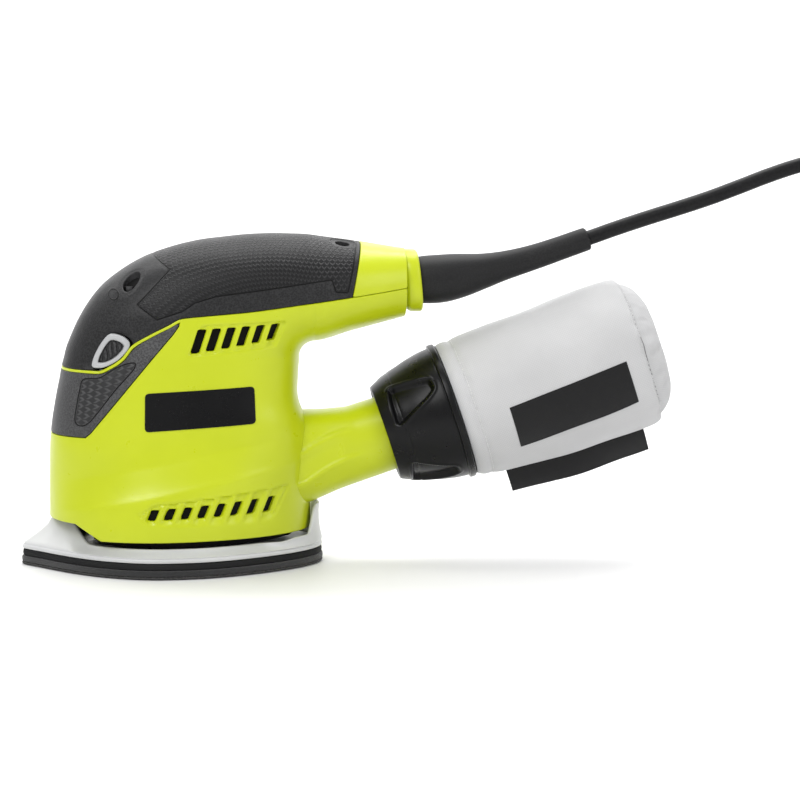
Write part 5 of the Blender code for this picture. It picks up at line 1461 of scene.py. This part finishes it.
# strap that ties the coil
th = np.linspace(0, 2 * math.pi, 65)[:-1]
TA = math.radians(20)
er = np.array([math.cos(TA), math.sin(TA), 0])
et = np.array([-math.sin(TA), math.cos(TA), 0])
rows = []
for k, (off, w_) in enumerate(((0.10, -3.0), (0.75, -3.0), (0.85, -2.7), (0.85, 2.7), (0.75, 3.0), (0.10, 3.0))):
    e = 3.6
    c, q = np.cos(th), np.sin(th)
    rho = (np.abs(c) ** e + np.abs(q) ** e) ** (-1 / e)
    rr = mid_ + (7.4 + off) * rho * c
    zz = np.maximum(10.4 + (10.0 + off) * rho * q, 0.05 + 0.02 * off)
    rows.append(np.array([CX, CY, 0]) + rr[:, None] * er + zz[:, None] * np.array([0, 0, 1.0]) + w_ * et)
V, F_ = ring_mesh(rows, cap0=False, cap1=False)
m2 = len(th)
F_ += [[5 * m2 + k, 5 * m2 + (k + 1) % m2, (k + 1) % m2, k] for k in range(m2)]
tie = make("cord_tie", V, F_, M["tie"], "housing", sharp=40)

# ----------------------------------------------------------------- dust bag
B0 = C0 + 34.9
BAG_L = 98.4
bag_tab = np.array([(0.0, 30.4, 31.2, -0.2), (2.0, 31.5, 32.3, -0.5), (4.0, 31.8, 32.8, -0.8),
                    (6.2, 31.0, 32.1, -0.95), (12, 30.7, 32.5, -1.1), (28, 30.8, 33.3, -1.2), (50, 31.2, 34.2, -1.1),
                    (72, 31.4, 35.0, -0.85), (84, 31.1, 34.8, -0.8), (88.0, 30.4, 34.2, -0.8),
                    (89.4, 29.7, 33.6, -0.8), (90.6, 29.0, 33.0, -0.8), (93.2, 25.8, 30.0, -0.7),
                    (96.0, 18.6, 22.8, -0.5), (97.8, 9.8, 12.6, -0.2), (98.4, 1.5, 2.0, 0.0)])
NB = 176
th = angles(NB)
run = np.concatenate([[0], np.cumsum(np.hypot(np.diff(bag_tab[:, 0]), np.diff(bag_tab[:, 2])))])
st = np.concatenate([np.linspace(0, 8, 8)[:-1], np.linspace(8, run[-1], 74)])
bt = np.stack([np.interp(st, run, bag_tab[:, k]) for k in range(4)], 1)
for _ in range(2):
    bt[1:-1] = (bt[:-2] + 2 * bt[1:-1] + bt[2:]) / 4


def seam_lag(theta):
    """The end seam isn't quite square to the bag."""
    return 0.9 * np.sin(theta) ** 2 - 0.2


rings, uv = [], []
for k, (d, ry, rz, lift) in enumerate(bt):
    w = smooth(40, 85, d) * (1 - smooth(93, 98, d))
    dd = d + w * seam_lag(th)
    c, q = np.cos(th), np.sin(th)
    ex = 2.0 + 0.12 * smooth(10, 50, d)
    rho = (np.abs(c) ** ex + np.abs(q) ** ex) ** (-1 / ex)
    rings.append(on_axis(B0 + dd, ry * c * rho, rz * q * rho + lift))
    uv.append(np.stack([th * 31.0, np.full(NB, st[k])], 1))
BV = np.vstack(rings)
BUV = np.vstack(uv)
nb_rows = len(bt)
i, j = np.meshgrid(np.arange(nb_rows - 1), np.arange(NB), indexing="ij")
a, b = (i * NB + j).ravel(), (i * NB + (j + 1) % NB).ravel()
BF = np.stack([a, b, b + NB, a + NB], 1)
cap = len(BV)
BV = np.vstack([BV, BV[-NB:].mean(axis=0)])
BUV = np.vstack([BUV, [0, st[-1] + 2]])
BFl = BF.tolist() + [[(nb_rows - 1) * NB + k, (nb_rows - 1) * NB + (k + 1) % NB, cap] for k in range(NB)]
rng = np.random.default_rng(7)


def simulate(V0, faces, frames_n=20):
    """Cloth under light pressure, held at the collar; returns moved points."""
    me = bpy.data.meshes.new("bag_sim")
    me.from_pydata((V0 * MM * 10).tolist(), [], faces)
    ob = bpy.data.objects.new("bag_sim", me)
    coll.objects.link(ob)
    hold = ob.vertex_groups.new(name="hold")
    rows_d = np.repeat(bt[:, 0], NB)
    hold.add([int(v) for v in np.flatnonzero(rows_d < 4.5)], 1.0, "REPLACE")
    seam = np.flatnonzero((rows_d > 87.6) & (rows_d < 90.4))
    hold.add([int(v) for v in seam], 0.35, "REPLACE")
    shr = ob.vertex_groups.new(name="shrink")
    wgt = np.exp(-((rows_d - 89.2) / 3.5) ** 2) + 0.55 * np.exp(-((rows_d - 6.0) / 3.0) ** 2)
    for v in range(len(rows_d)):
        shr.add([v], float(min(wgt[v], 1.0)), "REPLACE")
    md = ob.modifiers.new("cloth", "CLOTH")
    cs = md.settings
    cs.quality = 6
    cs.mass = 0.25
    cs.tension_stiffness = cs.compression_stiffness = 18
    cs.shear_stiffness = 8
    cs.bending_stiffness = 0.6
    cs.use_pressure = True
    cs.uniform_pressure_force = 3.0
    cs.vertex_group_mass = "hold"
    cs.pin_stiffness = 1.0
    cs.shrink_min = -0.035
    cs.shrink_max = 0.02
    cs.vertex_group_shrink = "shrink"
    cs.effector_weights.gravity = 0.0
    md.collision_settings.use_collision = False
    md.collision_settings.use_self_collision = False
    sc = bpy.context.scene
    sc.frame_start, sc.frame_end = 1, frames_n
    for f in range(1, frames_n + 1):
        sc.frame_set(f)
    dg = bpy.context.evaluated_depsgraph_get()
    ev = ob.evaluated_get(dg)
    out = np.empty(len(ev.data.vertices) * 3, np.float32)
    ev.data.vertices.foreach_get("co", out)
    out = out.reshape(-1, 3).astype(float) / (MM * 10)
    sc.frame_set(1)
    bpy.data.objects.remove(ob, do_unlink=True)
    return out


BW = BV.copy()
sim = simulate(BV, BFl)
mv = sim - BV
ln = np.linalg.norm(mv, axis=1)
print("bag: cloth moved up to", round(float(ln.max()), 2), "mm, mean", round(float(ln.mean()), 2))
if np.isfinite(mv).all():
    lim = 2.6
    mv *= (np.minimum(ln, lim) / np.maximum(ln, 1e-9))[:, None]
    BW = BV + mv
G_ = BW[:cap].reshape(nb_rows, NB, 3)


def bag_normals(G):
    du = np.roll(G, -1, axis=1) - np.roll(G, 1, axis=1)
    dv = np.gradient(G, axis=0)
    n = np.cross(du, dv)
    n /= np.linalg.norm(n, axis=2, keepdims=True) + 1e-9
    out = G - (ROOT + (B0 + 45) * AX)
    if (n * out).sum() < 0:
        n = -n
    return n


# sewn detail after the cloth: the end seam's valley and puckers, soft folds
D_ = np.repeat(bt[:, 0], NB).reshape(nb_rows, NB)
T_ = np.tile(th, (nb_rows, 1))
N_ = bag_normals(G_)
f1 = sum(a_ * np.sin(k_ * T_ + p_) for k_, a_, p_ in ((7, .5, .3), (13, .4, 1.7), (19, .35, 4.1), (29, .25, 2.2)))
puck = np.exp(-((D_ - 86.5) / 3.6) ** 2) * 0.34 * f1 + np.exp(-((D_ - 92.0) / 2.8) ** 2) * 0.42 * np.roll(f1, 5, axis=1)
puck += np.exp(-((D_ - 8.0) / 3.0) ** 2) * 0.22 * f1
valley = -0.85 * np.exp(-((D_ - 89.3) / 0.85) ** 2) - 0.35 * np.exp(-((D_ - 6.4) / 0.8) ** 2)
fold = 0.55 * np.sin(1.3 * T_ + D_ * 0.05) * np.sin(D_ * 0.045 + 2.0 * np.cos(T_)) * smooth(8, 30, D_) * (1 - smooth(84, 92, D_))
fold += 0.30 * np.sin(3.1 * T_ - D_ * 0.09 + 1.0) * np.sin(D_ * 0.10 + 0.4) * smooth(8, 30, D_)
G_ = G_ + N_ * (puck + valley + fold)[..., None]
BW[:cap] = G_.reshape(-1, 3)
seam_run = float(np.interp(89.3, bt[:, 0], st))
# the bag's weave with the end seam's line painted dark: painted shade in the seam's valley
M["bag_sewn"] = cloth("bag_weave_seam_shade", (0.43, 0.43, 0.434), (0.56, 0.56, 0.564), seam=seam_run * MM)
bag = make("bag_cloth_body", BW, BFl, M["bag_sewn"], "dust_bag_unit", ("dust_bag",), sharp=None, uv=BUV)
sub = bag.modifiers.new("sub", "SUBSURF")
sub.levels = sub.render_levels = 1
N_ = bag_normals(G_)


def on_bag(row_d, theta, off):
    """Point on the finished bag's surface at distance row_d and angle theta."""
    d = np.asarray(row_d, float)
    t = np.asarray(theta, float) % (2 * math.pi)
    fi = np.interp(d, bt[:, 0], np.arange(nb_rows))
    fj = t / (2 * math.pi) * NB
    i0 = np.clip(np.floor(fi).astype(int), 0, nb_rows - 2)
    j0 = np.floor(fj).astype(int) % NB
    u, v = (fi - i0)[..., None], (fj - np.floor(fj))[..., None]
    j1 = (j0 + 1) % NB

    def lerp(A):
        return (A[i0, j0] * (1 - u) * (1 - v) + A[i0 + 1, j0] * u * (1 - v)
                + A[i0, j1] * (1 - u) * v + A[i0 + 1, j1] * u * v)
    return lerp(G_) + lerp(N_) * off


# sewn label on the near side, plain, with a slight raised line near its edge
def bag_patch(d0, d1, t0, t1, nd, nt_, top):
    d = np.linspace(0, 1, nd)
    t = np.linspace(0, 1, nt_)
    DD, TT = np.meshgrid(d, t, indexing="ij")
    Dm = d0 + (d1 - d0) * DD
    ta = np.radians(t0[0] + (t0[1] - t0[0]) * DD)
    tb = np.radians(t1[0] + (t1[1] - t1[0]) * DD)
    Tm = ta + (tb - ta) * TT
    e = np.minimum(np.minimum(DD, 1 - DD) * (d1 - d0), np.minimum(TT, 1 - TT) * (tb - ta) * 31)
    off = -0.5 + (top + 0.5) * smooth(0, 0.5, e + 0.02) + 0.10 * np.exp(-((e - 0.5) / 0.4) ** 2)
    P = on_bag(Dm.ravel(), Tm.ravel(), off.ravel()[:, None])
    i, j = np.meshgrid(np.arange(nd - 1), np.arange(nt_ - 1), indexing="ij")
    a = (i * nt_ + j).ravel()
    F = np.stack([a, a + nt_, a + nt_ + 1, a + 1], 1).tolist()
    UV = np.stack([(Tm * 31).ravel(), Dm.ravel()], 1)
    return P, F, UV, e


P, F_, UV, e_ = bag_patch(21.2, 77.6, (181.8, 177.2), (219.5, 211.4), 190, 76, 0.42)
ec = e_.ravel()
fm = []
for f in F_:
    m_e = ec[f].mean()
    fm.append(0)
make("bag_label", P, F_, M["patch"], "dust_bag_unit", sharp=None, uv=UV,
     mats=[M["patch"], M["patch_line"]], fmat=fm)

# stitches along the end seam and the hem
def stitches(name, d0, count, length, mat, off=0.12, r=0.16):
    V, F = [], []
    th_s = np.linspace(0, 2 * math.pi, count, endpoint=False)
    k6 = angles(6)
    for t in th_s:
        tt = np.linspace(t, t + length / 31.0, 4)
        pts = on_bag(np.full(4, d0), tt, np.array([[-0.05], [off], [off], [-0.05]]))
        tg, a, b = frames(pts, up=AX)
        rr = [pts[q_] + r * np.cos(k6)[:, None] * a[q_] + r * np.sin(k6)[:, None] * b[q_] for q_ in range(4)]
        v, f = ring_mesh(rr)
        o = sum(len(x) for x in V)
        V.append(v)
        F += [[q_ + o for q_ in ff] for ff in f]
    make(name, np.vstack(V), F, mat, "dust_bag_unit", sharp=None)


stitches("end_seam_stitches", 87.4, 96, 1.5, M["thread"])
stitches("hem_stitches", 7.4, 96, 1.5, M["thread"])

# plain woven tag caught in the bag's lower seam
nd, nw = 120, 26
d = np.linspace(13.3, 77.9, nd)
w = np.linspace(0, 1, nw)
DD, WW = np.meshgrid(d, w, indexing="ij")
base = on_bag(DD[:, 0], np.full(nd, math.radians(262.0)), -0.2)
hang = 12.8 * WW
yy = (base[:, None, 1] + 0.42 * hang - 0.9 * np.sin(WW * 2.2 + DD * 0.03) * WW
      + 0.5 * np.sin(DD * 0.11) * WW ** 2)
Pt = np.stack([base[:, None, 0] + hang * 0.30 - 0 * WW, yy, base[:, None, 2] - hang * 0.86 + 0.25 * np.sin(DD * 0.09) * WW], -1)
du = np.gradient(Pt, axis=0)
dv = np.gradient(Pt, axis=1)
nn = np.cross(du, dv)
nn /= np.linalg.norm(nn, axis=2, keepdims=True)
front, back_ = Pt + nn * 0.22, Pt - nn * 0.22
Vt = np.vstack([front.reshape(-1, 3), back_.reshape(-1, 3)])
i, j = np.meshgrid(np.arange(nd - 1), np.arange(nw - 1), indexing="ij")
a = (i * nw + j).ravel()
off = nd * nw
F1 = np.stack([a, a + nw, a + nw + 1, a + 1], 1)
F2 = F1[:, ::-1] + off
edge = ([k * nw for k in range(nd)] + [(nd - 1) * nw + k for k in range(1, nw)]
        + [k * nw + nw - 1 for k in range(nd - 2, -1, -1)] + [k for k in range(nw - 2, 0, -1)])
F3 = [[edge[k], edge[(k + 1) % len(edge)], edge[(k + 1) % len(edge)] + off, edge[k] + off] for k in range(len(edge))]
uvt = np.vstack([np.stack([DD.ravel(), hang.ravel()], 1)] * 2)
tag = make("bag_tag", Vt, F1.tolist() + F2.tolist() + F3, M["patch"], "dust_bag_unit", sharp=50, uv=uvt)

# ------------------------------------------------- finishes of the CAD pieces
BY_SLOT = {"green_plastic": "green_in", "dark_overmold": "overmold", "black_plastic": "black",
           "black_rubber": "pad", "light_grey_plastic": "grey", "steel": "steel", "copper": "copper",
           "laminated_iron": "laminated", "bag_cloth": "bag", "hook_foam": "foam", "abrasive": "abrasive",
           "brass": "brass", "carbon": "carbon", "capacitor_film": "capacitor", "wire_black": "cord",
           "wire_white": "wire_white"}
slot_of = {s["node"]: s["material_slot"] for s in frame["record"]["subparts"]}
for nm, ob in frame["nodes"].items():
    m = M[BY_SLOT.get(slot_of.get(nm, ""), "black")]
    if nm.startswith("cover_screw"):
        m = M["zinc_black"]
    for sl in ob.material_slots:
        sl.material = m
    if not ob.material_slots:
        ob.data.materials.append(m)

# --------------------------------------------------------- floor and lights
k = Nodes("studio_floor")
fm_ = k.ramp(k.noise(3.0, 3.0), [(0.3, (0.74, 0.74, 0.743)), (0.7, (0.76, 0.76, 0.763))])
k.out(fm_, 0.55, k.bump(k.noise(400, 3.0), 0.03, 0.0002), Specular_IOR_Level=0.2)
bpy.ops.mesh.primitive_plane_add(size=1)
bpy.data.objects.remove(bpy.context.object, do_unlink=True)
prof_y = [(-2.5, 0.0), (1.1, 0.0), (1.5, 0.05), (1.8, 0.2), (2.0, 0.5), (2.1, 1.0), (2.12, 2.6)]
fine, _ = resample(np.array(prof_y), 80)
Vf = []
for x in np.linspace(-4, 4, 9):
    Vf.append(np.column_stack([np.full(len(fine), x), fine[:, 0], np.maximum(fine[:, 1], 0) - 0.0004]))
Vf = np.vstack(Vf)
i, j = np.meshgrid(np.arange(8), np.arange(79), indexing="ij")
a = (i * 80 + j).ravel()
me = bpy.data.meshes.new("studio_floor")
me.from_pydata(Vf.tolist(), [], np.stack([a, a + 80, a + 81, a + 1], 1).tolist())
me.materials.append(k.m)
me.shade_smooth()
fl = bpy.data.objects.new("studio_floor", me)
coll.objects.link(fl)


def area(name, loc, size, power, aim=(0.08, 0, 0.08), sy=None):
    l = bpy.data.lights.new(name, "AREA")
    l.energy = power
    l.size = size
    if sy:
        l.shape = "RECTANGLE"
        l.size_y = sy
    o = bpy.data.objects.new(name, l)
    coll.objects.link(o)
    o.location = loc
    o.rotation_euler = (Vector(aim) - Vector(loc)).to_track_quat("-Z", "Y").to_euler()
    return o


area("key_soft", (-0.62, -1.00, 1.15), 0.8, 13.0, sy=0.8)
area("fill_soft", (1.20, -1.05, 0.70), 0.9, 6.0)
area("top_soft", (0.10, 0.36, 1.28), 0.9, 11.3)
area("back_rim", (0.5, 1.0, 0.9), 0.7, 1.5)
area("sweep_left", (-0.9, 0.9, 1.5), 1.0, 24, aim=(-0.4, 2.0, 0.5))
area("sweep_right", (1.0, 0.9, 1.5), 1.0, 24, aim=(0.5, 2.0, 0.5))
w = bpy.data.worlds.new("studio")
bpy.context.scene.world = w
w.use_nodes = True
w.node_tree.nodes["Background"].inputs[0].default_value = (1, 1, 1, 1)
w.node_tree.nodes["Background"].inputs[1].default_value = 0.6

for o in list(bpy.data.objects):
    if o.name in ("Cube", "Light", "Camera") and o.name not in frame["nodes"]:
        bpy.data.objects.remove(o, do_unlink=True)
bpy.context.view_layer.update()
